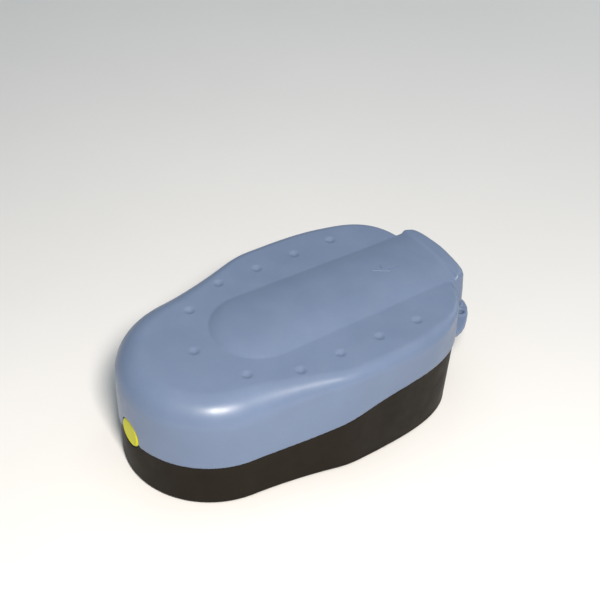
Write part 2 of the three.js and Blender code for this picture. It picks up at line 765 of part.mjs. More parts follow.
function mainBoard() {
  const sheet = block(-BOARD.halfWidth, BOARD.halfWidth, BOARD.front, BOARD.rear,
    BOARD.bottom, BOARD.bottom + BOARD.thick);
  return cut(sheet, ...boardPosts.map((p) => rodZ(1.6, p.x, p.y, 0, 40, 10)));
}

const storageCapacitor = new THREE.ExtrudeGeometry(
  flatShape([[-37, 31], [-7, 31], [-7, 67], [-37, 67]]),
  { depth: 40, bevelThickness: 1.5, bevelSize: 1.5, bevelOffset: -1.5, bevelSegments: 1 },
).translate(0, 0, BOARD_TOP + 1.5);

function ferriteCore(x0, x1, y0, y1, z0, z1) {
  const limb = (x1 - x0) * 0.2;
  const body = block(x0, x1, y0, y1, z0, z1);
  const left = block(x0 + limb, (x0 + x1) / 2 - limb * 0.7, y0 - 1, y1 + 1, z0 + limb, z1 - limb);
  const right = block((x0 + x1) / 2 + limb * 0.7, x1 - limb, y0 - 1, y1 + 1, z0 + limb, z1 - limb);
  return cut(body, left, right);
}

// winding round the middle limb of a core, clear of it by the usual gap
function coreWinding(x0, x1, y0, y1, z0, z1, overhang) {
  const limb = (x1 - x0) * 0.2;
  const middle = (x0 + x1) / 2;
  const core = limb * 0.7 + GAP;
  const body = block(x0 + limb + GAP, x1 - limb - GAP, y0 - overhang, y1 + overhang,
    z0 + limb + GAP, z1 - limb - GAP);
  return cut(body, block(middle - core, middle + core, y0 - GAP, y1 + GAP, 0, 100));
}

const CHARGER = [2, 26, 37, 49, BOARD_TOP + 1, BOARD_TOP + 22];
const OUTPUT = [-23, 23, 79, 93, 8.4, 47];

function transformerBracket() {
  const [x0, x1, , , , top] = OUTPUT;
  const outer = block(x0 - 2, x1 + 2, 80, 92, 8.3, top + 1.8);
  const inner = block(x0 - 0.5, x1 + 0.5, 79, 93, 0, top + 0.3);
  const feet = [-1, 1].map((side) => (
    cut(block(side * 27.5 - 4, side * 27.5 + 4, 80, 92, 8.3, 9.8), rodZ(1.6, side * 27, 86, 0, 20, 10))
  ));
  return join(cut(outer, inner), ...feet);
}

const electrolytic = turned([
  [0, BOARD_TOP], [7.6, BOARD_TOP], [8, BOARD_TOP + 0.8], [8, BOARD_TOP + 23.4],
  [7.2, BOARD_TOP + 24.4], [0, BOARD_TOP + 24.4],
], 18).translate(35, 47.5, 0);

function heatSink() {
  const plateBody = block(0, 29, 65.2, 67.2, BOARD_TOP, BOARD_TOP + 26);
  const fins = [];
  for (let i = 0; i < 6; i += 1) {
    fins.push(block(i * 5.4, i * 5.4 + 1.6, 67, 71.6, BOARD_TOP, BOARD_TOP + 26));
  }
  return join(plateBody, ...fins);
}

const thyristor = join(
  block(9, 19, 60.6, 64.9, BOARD_TOP + 6, BOARD_TOP + 15.5),
  block(9, 19, 63.6, 64.9, BOARD_TOP + 15, BOARD_TOP + 21),
);

const bladeFuse = join(
  block(31, 38, 59.5, 66, BOARD_TOP, BOARD_TOP + 5),
  block(32.6, 36.4, 60.2, 65.3, BOARD_TOP + 4.5, BOARD_TOP + 13),
);

function leadPlug() {
  const body = block(0, 24, 27.4, 33, BOARD_TOP, BOARD_TOP + 8);
  const slots = [];
  for (let i = 0; i < 4; i += 1) {
    slots.push(block(1.8 + i * 5.6, 5.4 + i * 5.6, 28.6, 31.8, BOARD_TOP + 4, BOARD_TOP + 9));
  }
  return cut(body, ...slots);
}

// ---------------------------------------------------------------- assembly

const energizer = new THREE.Group();
energizer.name = 'fence_energizer';

function place(name, geometry, material, x = 0, y = 0, z = 0) {
  const mesh = new THREE.Mesh(geometry, material);
  mesh.name = name;
  mesh.position.set(x, y, z);
  energizer.add(mesh);
}

place('top_cover', topCover(), looks.cover);
place('base_shell', baseShell(), looks.base);
place('seal_gasket', sealGasket(), looks.rubber);

place('power_button', powerButton(), looks.yellow);
place('button_seal_ring', buttonRing(), looks.rubber);
place('button_guide', buttonGuide(), looks.black);
place('button_spring', buttonSpring(), looks.steel);
place('push_switch', pushSwitch, looks.black);
place('switch_plunger', switchPlunger, looks.cream);
place('pulse_led', pulseLed, looks.lens);
place('front_board', frontBoard, looks.board);

bossPoints.forEach((b, i) => {
  place(`case_screw_${i + 1}`, screwUp(0, 0, 0, 20), looks.steel, b.x, b.y, b.join - 6 - GAP);
});
footPlaces.forEach(([x, y], i) => {
  place(`rubber_foot_${i + 1}`, rubberFoot(), looks.rubber, x, y, 0);
});

for (const [side, name, colour] of [[-1, 'fence', looks.red], [1, 'earth', looks.green]]) {
  const x = side * TERMINAL_X;
  place(`${name}_stud`, terminalStud(), looks.brass, x);
  place(`${name}_stud_nut`, studNut, looks.steel, x);
  place(`${name}_clamp_washer`, clampWasher(), looks.steel, x);
  place(`${name}_knob`, handKnob(), colour, x);
  place(`${name}_lug`, lugRing(), looks.brass, x);
}

place('solar_socket', solarSocket(), looks.black);
place('solar_socket_pin', socketPin, looks.brass);
place('solar_socket_nut', socketNut, looks.black);
place('solar_socket_flap', socketFlap(), looks.rubber);
place('socket_flap_pin', flapPin, looks.steel);

place('battery_case', batteryCase(), looks.sleeve);
place('battery_tab_positive', batteryTab(28), looks.steel);
place('battery_tab_negative', batteryTab(-28), looks.steel);
place('battery_strap', batteryStrap(), looks.darkSteel);
place('battery_foam_pad', foamPad, looks.foam);
strapPosts.forEach((p, i) => {
  place(`strap_screw_${i + 1}`, screwDown(0, 0, 0, 4), looks.steel, p.x, p.y, FLOOR_Z + 6.1);
});

place('main_board', mainBoard(), looks.board);
boardPosts.forEach((p, i) => {
  place(`board_screw_${i + 1}`, screwDown(0, 0, 0, 8), looks.steel, p.x, p.y, BOARD_TOP);
});
place('storage_capacitor', storageCapacitor, looks.blueBox);
place('charger_core', ferriteCore(...CHARGER), looks.grey);
place('charger_winding', coreWinding(...CHARGER, 3), looks.copper);
place('filter_capacitor', electrolytic, looks.sleeve);
place('heat_sink', heatSink(), looks.aluminium);
place('thyristor', thyristor, looks.black);
place('blade_fuse', bladeFuse, looks.orange);
place('lead_plug', leadPlug(), looks.cream);

place('output_core', ferriteCore(...OUTPUT), looks.darkSteel);
place('output_winding', coreWinding(...OUTPUT, 3), looks.copper);
place('output_bracket', transformerBracket(), looks.steel);

export default energizer;
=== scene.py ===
import functools
import json
import math

import bpy
import numpy as np
from mathutils import Matrix, Vector
from numpy import clip, hypot


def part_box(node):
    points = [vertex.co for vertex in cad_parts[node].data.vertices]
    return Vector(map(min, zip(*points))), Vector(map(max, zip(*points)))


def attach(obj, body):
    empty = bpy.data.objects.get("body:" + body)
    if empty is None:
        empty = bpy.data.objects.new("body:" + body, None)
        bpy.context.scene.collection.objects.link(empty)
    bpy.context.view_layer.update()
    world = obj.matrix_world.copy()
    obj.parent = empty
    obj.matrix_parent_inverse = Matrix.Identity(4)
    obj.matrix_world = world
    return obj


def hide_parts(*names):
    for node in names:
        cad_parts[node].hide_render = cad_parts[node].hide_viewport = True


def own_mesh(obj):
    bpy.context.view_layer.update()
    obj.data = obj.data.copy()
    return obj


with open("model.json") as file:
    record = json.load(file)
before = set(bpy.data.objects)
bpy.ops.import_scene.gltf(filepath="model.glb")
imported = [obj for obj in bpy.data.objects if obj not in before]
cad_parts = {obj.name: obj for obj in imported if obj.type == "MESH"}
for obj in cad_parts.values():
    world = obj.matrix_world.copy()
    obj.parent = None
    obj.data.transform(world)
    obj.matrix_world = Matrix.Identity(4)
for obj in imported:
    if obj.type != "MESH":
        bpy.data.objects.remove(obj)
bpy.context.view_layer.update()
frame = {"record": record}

# Fence energizer. Lengths are millimetres until a mesh is made, which is in metres.
MM = 0.001

# ---- driving dimensions of the case

FRONT_Y, FRONT_R = -65.0, 63.0
REAR_Y, REAR_R = 9.0, 76.0
WAIST_R = 300.0
REAR_REACH, REAR_POWER = 103.0, 3.15

FOOT_PROUD = 1.5
TOP_Z = 85.5
PARTING_FRONT_Z, PARTING_REAR_Z = 34.8, 56.5
PARTING_MID_Y, PARTING_SPREAD = -1.5, 17.0

SHOULDER_FRONT_R, SHOULDER_REAR_R, SHOULDER_END_R = 18.7, 8.0, 2.5
SHOULDER_FRONT_Y, SHOULDER_REAR_Y, SHOULDER_END_Y = -85.0, 66.0, 108.0
COVER_WALL, BASE_WALL = 2.8, 3.0
BASE_REVEAL, BASE_DRAFT, BASE_EDGE_R = 1.0, 3.0, 1.3
BASE_RIM, LEDGE_DEPTH = 1.65, 3.0
SHADOW_GAP = 0.6
FLOOR_Z = 4.0

TONGUE_FRONT_Y, TONGUE_END_Y = -28.0, 114.0
TONGUE_HALF, TONGUE_HALF_END = 33.0, 30.0
TONGUE_RISE, TONGUE_ROOT = 4.0, 6.0
TONGUE_SIDE_POWER, TONGUE_TIP_POWER = 2.2, 2.2

HOOD_HALF, HOOD_REAR_Y = 32.6, 128.0
HOOD_WALL, HOOD_CEILING_Z, HOOD_RIM = 2.5, 79.0, 2.2
HOOD_EDGE_R, HOOD_FRONT_EDGE_R = 4.0, 1.8
EAR_Z, EAR_THICK = 54.2, 3.5
EAR_HOLE_X, EAR_HOLE_Y, EAR_HOLE_R = 36.5, 117.5, 2.5

DIMPLE_R, DIMPLE_DEPTH = 3.6, 1.3
DIMPLE_HALF, DIMPLE_PITCH, DIMPLE_LAST_Y = 52.0, 31.0, 65.0
DIMPLE_ARC_Y, DIMPLE_ARC_R, DIMPLE_ARC_DEG = -28.0, 48.6, 50.0

FACE_Y = -126.9  # of the button
BUTTON_Z, BUTTON_R, BUTTON_HOLE_R = 38.0, 10.4, 10.9
BUTTON_STOP_Y, BUTTON_SKIRT_Y = -122.2, -117.5
SCOOP_R, SCOOP_DEPTH = 15.0, 1.5
NOSE_Y = -100.0  # cuts for the button stay in front of this
TERMINAL_X, TERMINAL_Z = 22.0, 31.0
PAD_Y, PAD_INNER_Y = 112.0, 104.5
BOARD_Y, BOARD_HALF = -99.8, 1.1
BOLT_Y = 76.0
SCREW_PAST_JOIN = 13.7
RATING_HALF, RATING_Y, RATING_R = (26.0, 18.0), 20.0, 3.0
BRACKET_SCREW = (27.0, 86.0)
PILOT_R, CLEAR_R = 1.4, 1.6  # holes in plastic and in metal for the small screws
BOSS_R, POST_R = 6.0, 3.6
STUD_HOLE_R, SOCKET_HOLE_R, HINGE_HOLE_R = 3.3, 6.3, 1.2
GAP = 0.3
FAR = 50.0

# small components on the main board: x, y, width, length, height
SMALL_PARTS = [
    *[(-3.5 + 5 * (i % 2), 36 + 4.2 * i, 3.2, 1.6, 1.1) for i in range(7)],
    *[(29 + 4 * i, 30, 2.0, 3.4, 1.3) for i in range(3)],
    (31.5, 36, 5.0, 4.0, 1.6),
    (8, 56, 9.0, 4.0, 1.8),
    (21, 56.5, 3.4, 5.2, 2.6),
]

# ---- plan shapes


def smoothstep(v, start, end):
    t = clip((v - start) / (end - start), 0, 1)
    return t * t * (3 - 2 * t)


def arc(cx, cy, radius, start, end, steps):
    a = np.linspace(start, end, steps + 1)
    return np.stack([cx + radius * np.cos(a), cy + radius * np.sin(a)], 1)


def mirrored(half):
    """A closed outline from its half at x >= 0, which runs from low y to high y."""
    other = half[::-1][half[::-1, 0] > 1e-6] * [-1, 1]
    return np.concatenate([half, other])


def case_outline():
    """Front and rear lobes joined by tangent waist arcs; the rear lobe ends in a superellipse."""
    to_front, to_rear = FRONT_R + WAIST_R, REAR_R + WAIST_R
    lobe_gap = REAR_Y - FRONT_Y
    along = (to_front**2 - to_rear**2 + lobe_gap**2) / (2 * lobe_gap)
    waist_x, waist_y = math.sqrt(to_front**2 - along**2), FRONT_Y + along
    front_a = math.atan2(waist_y - FRONT_Y, waist_x)
    rear_a = math.atan2(waist_y - REAR_Y, waist_x)
    a = np.linspace(0, math.pi / 2, 90)
    reach = (
        (np.cos(a) / REAR_R) ** REAR_POWER + (np.sin(a) / REAR_REACH) ** REAR_POWER
    ) ** (-1 / REAR_POWER)
    tail = np.stack([reach * np.cos(a), REAR_Y + reach * np.sin(a)], 1)
    half = np.concatenate([
        arc(0, FRONT_Y, FRONT_R, -math.pi / 2, front_a, 90),
        arc(waist_x, waist_y, WAIST_R, math.pi + front_a, math.pi + rear_a, 30)[1:],
        arc(0, REAR_Y, REAR_R, rear_a, 0, 14)[1:],
        tail[1:],
    ])
    half[[0, -1], 0] = 0
    return mirrored(half)


def soften(outline, radius):
    """The same closed outline with its corners rounded."""
    before, after = np.roll(outline, 1, 0) - outline, np.roll(outline, -1, 0) - outline
    points = []
    for p, a, b in zip(outline, before, after):
        la, lb = hypot(*a), hypot(*b)
        reach = min(radius, 0.45 * la, 0.45 * lb)
        start, end = p + a / la * reach, p + b / lb * reach
        for t in (0, 0.25, 0.5, 0.75, 1):
            points.append((1 - t) ** 2 * start + 2 * t * (1 - t) * p + t * t * end)
    return np.array(points)


class PlanDistance:
    """Signed distance to a closed outline, negative inside, read from a fine table."""

    def __init__(self, outline, pad=14.0, cell=0.5):
        self.low = outline.min(0) - pad
        self.cell = cell
        xs, ys = (np.arange(self.low[i], outline[:, i].max() + pad, cell) for i in (0, 1))
        self.table = np.empty((len(xs), len(ys)))
        start, step = outline, np.roll(outline, -1, 0) - outline
        size = (step**2).sum(1)
        for i, x in enumerate(xs):
            dx = x - start[:, 0][None]
            dy = ys[:, None] - start[:, 1][None]
            t = clip((dx * step[:, 0] + dy * step[:, 1]) / size, 0, 1)
            gap = hypot(dx - t * step[:, 0], dy - t * step[:, 1]).min(1)
            above = (dy >= 0) != (dy - step[:, 1] >= 0)
            side = step[:, 0] * dy - step[:, 1] * dx
            crossing = above & ((side > 0) == (step[:, 1] < 0))
            inside = crossing.sum(1) % 2 == 1
            self.table[i] = np.where(inside, -gap, gap)

    def __call__(self, x, y):
        u = clip((x - self.low[0]) / self.cell, 0, self.table.shape[0] - 1.001)
        v = clip((y - self.low[1]) / self.cell, 0, self.table.shape[1] - 1.001)
        u, v = np.broadcast_arrays(u, v)
        i, j = u.astype(int), v.astype(int)
        u, v = u - i, v - j
        t = self.table
        low = t[i, j] * (1 - u) + t[i + 1, j] * u
        high = t[i, j + 1] * (1 - u) + t[i + 1, j + 1] * u
        return low * (1 - v) + high * v


# ---- solids as signed fields


def common(*fields):
    return functools.reduce(np.maximum, fields)


def cut(body, *tools):
    return common(body, *(-tool for tool in tools))


def soft_min(a, b, width):
    h = clip(0.5 + 0.5 * (b - a) / width, 0, 1)
    return b * (1 - h) + a * h - width * h * (1 - h)


def soft_max(a, b, width):
    return -soft_min(-a, -b, width)


def between(v, low, high):
    return np.maximum(low - v, v - high)


def rounded(side, end, radius):
    """Where a wall (side) meets an end face (end), both signed distances, with a round edge."""
    u, v = side + radius, end + radius
    return hypot(np.maximum(u, 0), np.maximum(v, 0)) + np.minimum(np.maximum(u, v), 0) - radius


def block(x, y, z, low, high, radius=0.0):
    sides = [between(v, a, b) for v, a, b in zip((x, y, z), low, high)]
    if not radius:
        return common(*sides)
    return rounded(rounded(sides[0], sides[1], radius), sides[2], radius)


def rod(across, along, radius, start, end, edge=0.0):
    """A round bar: across is the distance from its axis, along the place on it."""
    side, ends = across - radius, between(along, start, end)
    return rounded(side, ends, edge) if edge else np.maximum(side, ends)


AXES = ((0, 1, 2), (1, 2, 0), (2, 0, 1))  # an axis and the two across it
SLOPE_REACH = 0.12  # in steps
CENTRING = 0.06  # how strongly a corner is held to the middle of its crossings
MOST_SHIFT = 0.9  # of a corner from there, in steps


def slopes(field, p, reach):
    """The field's unit gradient at points p."""
    steps = np.eye(3) * reach
    out = np.stack([field(*(p + step).T) - field(*(p - step).T) for step in steps], 1)
    return out / np.maximum(np.linalg.norm(out, axis=1, keepdims=True), 1e-12)


def surface(name, field, low, high, step):
    """A closed mesh of the field's zero surface, with its edges kept crisp (dual contouring)."""
    axes = [np.arange(a - 1.5 * step, b + 2.5 * step, step) for a, b in zip(low, high)]
    grid = np.meshgrid(*axes, indexing="ij", sparse=True)
    values = np.broadcast_to(field(*grid), [len(a) for a in axes])
    solid = values < 0
    stride = np.array([solid.shape[1] * solid.shape[2], solid.shape[2], 1])
    cells, points, normals, quads = [], [], [], []
    for axis, b, c in AXES:
        at = np.argwhere(np.diff(solid, axis=axis))
        to = at.copy()
        to[:, axis] += 1
        f0, f1 = values[tuple(at.T)], values[tuple(to.T)]
        start = np.stack([axes[i][at[:, i]] for i in range(3)], 1)
        t0, t1 = np.zeros(len(at)), np.ones(len(at))
        for _ in range(3):
            t = clip(t0 + (t1 - t0) * f0 / (f0 - f1), 0, 1)
            p = start.copy()
            p[:, axis] += t * step
            f = field(*p.T)
            same = (f < 0) == (f0 < 0)
            t0, f0 = np.where(same, t, t0), np.where(same, f, f0)
            t1, f1 = np.where(same, t1, t), np.where(same, f1, f)
        n = slopes(field, p, SLOPE_REACH * step)
        cell = at @ stride
        back_b, back_c = cell - stride[b], cell - stride[c]
        ring = np.stack([back_b - stride[c], back_c, cell, back_b], 1)
        outward = solid[tuple(at.T)]
        quads.append(np.where(outward[:, None], ring, ring[:, ::-1]))
        cells.append(ring.ravel())
        points.append(np.repeat(p, 4, 0))
        normals.append(np.repeat(n, 4, 0))
    cells, points, normals = (np.concatenate(v) for v in (cells, points, normals))
    ids, where = np.unique(cells, return_inverse=True)

    def total(v):
        return np.bincount(where, v, len(ids))

    count = total(np.ones(len(cells)))
    centre = np.stack([total(points[:, i]) / count for i in range(3)], 1)
    reach = ((points - centre[where]) * normals).sum(1)
    pull = np.stack([total(normals[:, i] * reach) for i in range(3)], 1)
    spread = np.stack([total(normals[:, i] * normals[:, j])
                       for i in range(3) for j in range(3)], 1).reshape(-1, 3, 3)
    spread += np.eye(3) * (CENTRING * count)[:, None, None]
    shift = np.linalg.solve(spread, pull[:, :, None])[:, :, 0]
    length = np.linalg.norm(shift, axis=1, keepdims=True)
    shift *= np.minimum(1, MOST_SHIFT * step / np.maximum(length, 1e-9))
    return mesh_object(name, (centre + shift) * MM, np.searchsorted(ids, np.concatenate(quads)))


def mesh_object(name, corners, faces):
    mesh = bpy.data.meshes.new(name)
    starts = np.arange(0, faces.size, faces.shape[1], dtype=np.int32)
    mesh.vertices.add(len(corners))
    mesh.vertices.foreach_set("co", np.ascontiguousarray(corners, np.float32).ravel())
    mesh.loops.add(faces.size)
    mesh.loops.foreach_set("vertex_index", faces.astype(np.int32).ravel())
    mesh.polygons.add(len(faces))
    mesh.polygons.foreach_set("loop_start", starts)
    mesh.polygons.foreach_set("use_smooth", np.ones(len(faces), bool))
    mesh.update(calc_edges=True)
    mesh.validate()
    return linked(name, mesh)


def linked(name, data):
    made = bpy.data.objects.new(name, data)
    bpy.context.scene.collection.objects.link(made)
    return made


# ---- forms of the case

case_plan = PlanDistance(case_outline())


def parting(y):
    rise = PARTING_REAR_Z - PARTING_FRONT_Z
    return PARTING_FRONT_Z + rise / (1 + np.exp(-(y - PARTING_MID_Y) / PARTING_SPREAD))


def shoulder(y):
    body = SHOULDER_FRONT_R + (SHOULDER_REAR_R - SHOULDER_FRONT_R) * smoothstep(
        y, SHOULDER_FRONT_Y, REAR_Y)
    return body + (SHOULDER_END_R - SHOULDER_REAR_R) * smoothstep(
        y, SHOULDER_REAR_Y, SHOULDER_END_Y)


hood_plan = PlanDistance(mirrored(np.array([
    [HOOD_HALF, 98], [HOOD_HALF, 114], [HOOD_HALF - 0.1, 117.8], [HOOD_HALF - 0.9, 120.6],
    [HOOD_HALF - 2.8, 123], [HOOD_HALF - 6.4, 124.8], [HOOD_HALF - 12, 126],
    [14, 126.9], [7, 127.5], [0, HOOD_REAR_Y - 0.2],
])))
EAR = np.array([
    [20, 104], [50, 94], [53.5, 98], [53.2, 102], [51.6, 107], [48.9, 111.5], [44, 117.2],
    [39, 121.9], [34.5, 125], [29.5, 127], [24, 127.4], [20, 122],
])
ear_plans = [PlanDistance(EAR * [side, 1]) for side in (1, -1)]


def tongue_share(x, y):
    """How far out from the tongue's spine a point is: 1 on its edge."""
    t = clip((y - TONGUE_FRONT_Y) / (TONGUE_END_Y - TONGUE_FRONT_Y), 0, 1)
    half = TONGUE_HALF + (TONGUE_HALF_END - TONGUE_HALF) * t
    return hypot(x, np.minimum(y - TONGUE_FRONT_Y, 0)) / half


def tongue_rise(x, y):
    """Height of the tongue over the flat of the top; its tip rounds down faster than its sides."""
    ahead = clip((TONGUE_FRONT_Y - y) / TONGUE_HALF, 0, 1)
    power = TONGUE_SIDE_POWER + TONGUE_TIP_POWER * ahead
    return TONGUE_RISE * (1 - np.minimum(tongue_share(x, y), 1) ** power)


def dimple_places():
    for i in range(4):
        for side in (-1, 1):
            yield side * DIMPLE_HALF, DIMPLE_LAST_Y - i * DIMPLE_PITCH
    for deg in (-DIMPLE_ARC_DEG, 0, DIMPLE_ARC_DEG):
        a = math.radians(deg)
        yield DIMPLE_ARC_R * math.sin(a), DIMPLE_ARC_Y - DIMPLE_ARC_R * math.cos(a)


def dimple_depth(x, y):
    depth = 0
    for px, py in dimple_places():
        share = clip(1 - ((x - px) ** 2 + (y - py) ** 2) / DIMPLE_R**2, 0, 1)
        depth = depth + DIMPLE_DEPTH * share
    return depth


def button_scoop(x, y, z):
    near = clip(1 - (x * x + (z - BUTTON_Z) ** 2) / SCOOP_R**2, 0, 1)
    return np.where(y < NOSE_Y, SCOOP_DEPTH * near**1.5, 0)


def button_hole(x, y, z, radius):
    """The outside of a hole round the button's axis, through the nose only."""
    return np.where(y < NOSE_Y, radius - hypot(x, z - BUTTON_Z), -FAR)


def case_form(x, y, z, wall, plan, sunk=0):
    """The cover's outer form with its tongue, or the same form `wall` inside it."""
    radius = np.maximum(shoulder(y) - wall, 1)
    body = rounded(plan + wall, z - TOP_Z + wall + sunk, radius)
    end = TONGUE_END_Y + (1 if wall == 0 else -6)
    tongue = common((tongue_share(x, y) - 1) * TONGUE_HALF + wall,
                    z - TOP_Z - tongue_rise(x, y) + wall, y - end, TOP_Z - TONGUE_ROOT - z)
    return soft_min(body, tongue, 0.3)


def hood_form(x, y, z, hood):
    """The rain hood, whose top is a rolled rim that stands above the tongue."""
    lean = (0.6 + smoothstep(-abs(x), -32, -8)) * smoothstep(z, TOP_Z - 16, TOP_Z)
    top = tongue_rise(x, np.minimum(y, TONGUE_END_Y))
    rim = HOOD_RIM + 0.6 * TONGUE_RISE * (1 - (x / TONGUE_HALF) ** 2)
    top = TOP_Z + top + (rim - top) * smoothstep(y, TONGUE_END_Y - 0.8, TONGUE_END_Y + 2.6)
    rounder = smoothstep(y, TONGUE_END_Y, TONGUE_END_Y + 6)
    edge = HOOD_FRONT_EDGE_R + (HOOD_EDGE_R - HOOD_FRONT_EDGE_R) * rounder
    return rounded(hood + lean, z - top, edge)


# ---- pieces

record = frame["record"]
BODY = {n: b for b, names in record["behaviour"]["bodies"].items() for n in names}
SLOT = {s["node"]: s["material_slot"] for s in record["subparts"]}


def span(node):
    low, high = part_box(node)
    return np.array(low) / MM, np.array(high) / MM


def middle(node):
    low, high = span(node)
    return (low + high) / 2


def numbered(name, count):
    return [f"{name}_{i + 1}" for i in range(count)]


def dress(piece, body, slot):
    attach(piece, body)
    piece.data.materials.append(finish(slot))
    return piece


def part(node, field, step):
    """A detailed piece that stands for one CAD node, whose corners its field gets too."""
    low, high = span(node)
    piece = surface(node + "_form", lambda x, y, z: field(x, y, z, low, high), low, high, step)
    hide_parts(node)
    return dress(piece, BODY[node], SLOT[node])


def extra(name, field, low, high, step, slot):
    """A detailed piece of the case that the CAD has no node for."""
    dress(surface(name, field, low, high, step), "case", slot)


def turned(profile, radius=0.3):
    """Signed distance to a turned shape, from its profile of [radius, height] points."""
    outline = np.array(profile, float)
    if outline[0, 0] == 0:
        outline = mirrored(outline)
    return PlanDistance(soften(outline, radius), pad=2.0, cell=0.1)


def thread(u, v, along, radius, pitch, depth):
    """A screw thread about the along axis."""
    turn = (along / pitch - np.arctan2(v, u) / (2 * math.pi)) % 1
    return hypot(u, v) - radius + depth * abs(2 * turn - 1)


def hexagon(u, v, across_flats):
    sides = [abs(u * math.cos(a) + v * math.sin(a)) for a in np.radians([0, 60, 120])]
    return common(*sides) - across_flats / 2


def cross_recess(u, v, half, reach):
    return np.minimum(common(abs(u) - half, abs(v) - reach),
                      common(abs(v) - half, abs(u) - reach))


# ---- cover and base

# screw bosses inside the wall: x, y and the height where cover and base meet
BOSSES = [(*middle(screw)[:2], span(screw)[1][2] - SCREW_PAST_JOIN)
          for screw in numbered("case_screw", 6)]


def cover_field(x, y, z, *_):
    plan = case_plan(x, y)
    hood = hood_plan(x, y)
    outer = case_form(x, y, z, 0, plan + button_scoop(x, y, z), dimple_depth(x, y))
    outer = soft_min(outer, hood_form(x, y, z, hood), 2.5 * smoothstep(TOP_Z - z, 0, 6) + 0.3)
    outer = soft_max(outer, parting(y) - z, 0.8)
    for ear in ear_plans:
        tab = rounded(ear(x, y), abs(z - EAR_Z - EAR_THICK / 2) - EAR_THICK / 2, 0.8)
        outer = soft_min(outer, tab, 1.6)
    for side in (-1, 1):
        across = hypot(x - side * EAR_HOLE_X, y - EAR_HOLE_Y)
        collar = rod(across, z, EAR_HOLE_R + 2.2, EAR_Z, EAR_Z + EAR_THICK + 0.8, 0.5)
        outer = soft_min(outer, collar, 0.8)
        outer = soft_max(outer, EAR_HOLE_R - across, 0.6)
    inner = case_form(x, y, z, COVER_WALL, plan)
    cavity = common(hood + HOOD_WALL, z - HOOD_CEILING_Z, PAD_Y + GAP - y)
    base_room = common(plan + BASE_REVEAL - 0.6, z - parting(y) + 0.45)
    shell = cut(outer, inner, cavity, base_room)
    below_skin = case_form(x, y, z, COVER_WALL / 2, plan)
    for bx, by, joint in BOSSES:
        across = hypot(x - bx, y - by)
        post = common(rod(across, z, 4.6, joint + GAP, TOP_Z), below_skin)
        shell = soft_min(shell, post, 1.0)
        shell = cut(shell, rod(across, z, 1.9, joint - 1, joint + 18))
    return soft_max(shell, button_hole(x, y, z, BUTTON_HOLE_R), 0.5)


BOLT = np.array([[3, 10], [-5, -1.5], [-0.8, -1.5], [-3, -10], [5, 1.5], [0.8, 1.5]], float)
bolt_plan = PlanDistance(soften(BOLT + [0, BOLT_Y], 0.5), pad=3.0, cell=0.1)


def bolt_field(x, y, z):
    """A plain lightning bolt in low relief on the tongue's crest."""
    crest = TOP_Z + tongue_rise(x, y)
    raised = rounded(bolt_plan(x, y), z - crest - 0.65, 0.2)
    return common(raised, crest - 0.6 - z)


def base_field(x, y, z, *_):
    plan = case_plan(x, y)
    top = parting(y) - SHADOW_GAP
    share = clip((top - z) / (top - FOOT_PROUD - 3), 0, 1)
    inset = BASE_REVEAL + BASE_DRAFT * smoothstep(y, FRONT_Y, REAR_Y + 60) * share
    outer = rounded(plan + inset, FOOT_PROUD - z, BASE_EDGE_R)
    outer = soft_max(outer, z - top, 0.5)
    pad = block(x, y, z, (-33, PAD_INNER_Y, 12), (33, PAD_Y, 50), 1.2)
    room = rounded(plan + inset + BASE_WALL, FLOOR_Z - z, 2.5)
    ledge = common(plan + BASE_REVEAL + BASE_RIM, parting(y) - LEDGE_DEPTH - z)
    shell = soft_min(cut(outer, room, ledge), pad, 1.5)
    for px, py, reach, radius in base_posts():
        post = rod(hypot(x - px, y - py), z, radius, FLOOR_Z - 1, reach)
        shell = soft_min(shell, post, 1.0)
    for low, high in base_ribs():
        shell = soft_min(shell, block(x, y, z, low, high, 0.6), 0.8)
    for px, py, radius, low, high in base_bores():
        shell = cut(shell, rod(hypot(x - px, y - py), z, radius, low, high))
    recess = rounded(abs(x) - RATING_HALF[0] + RATING_R,
                     abs(y - RATING_Y) - RATING_HALF[1] + RATING_R, RATING_R)
    shell = soft_max(shell, -common(recess, z - FOOT_PROUD - 0.5), 0.3)
    shell = soft_max(shell, button_hole(x, y, z, BUTTON_HOLE_R), 0.4)
    seat = rod(hypot(x, z - BUTTON_Z), y, 15, BUTTON_STOP_Y, -105)
    slot = block(x, y, z, (-17.2, BOARD_Y - BOARD_HALF, FLOOR_Z + 4),
                 (17.2, BOARD_Y + BOARD_HALF, 60))
    shell = cut(shell, seat, slot)
    places = (-TERMINAL_X, STUD_HOLE_R), (TERMINAL_X, STUD_HOLE_R), (0, SOCKET_HOLE_R)
    for px, radius in places:
        across = hypot(x - px, z - TERMINAL_Z)
        shell = soft_max(shell, -rod(across, y, radius, 90, 120), 0.4)
    return shell


def base_posts():
    """Posts for the screws: x, y, top and radius."""
    for bx, by, joint in BOSSES:
        yield bx, by, joint, BOSS_R
    for screw in numbered("board_screw", 4):
        yield *middle(screw)[:2], span("main_board")[0][2] - GAP, POST_R
    for screw in numbered("strap_screw", 2):
        yield *middle(screw)[:2], FLOOR_Z + 4, POST_R


def base_ribs():
    """Locating ribs for the battery, the front board, the button guide and the transformer."""
    floor = FLOOR_Z - 1
    low, high = span("battery_case")
    for y in (low[1] - 1.5, high[1] + 1.5):
        yield (-20, y - 1, floor), (20, y + 1, 16)
    for side in (-1, 1):
        for y in (-66, 0):
            x = side * (high[0] + 1.5)
            yield (x - 1, y - 9, floor), (x + 1, y + 9, 16)
        yield (side * 18.4 - 2.4, BOARD_Y - 3, floor), (side * 18.4 + 2.4, BOARD_Y + 3, 40)
        yield (side * 27 - 4, 82, floor), (side * 27 + 4, 90, 8)
    yield (-9, -119, floor), (9, -110, 26)


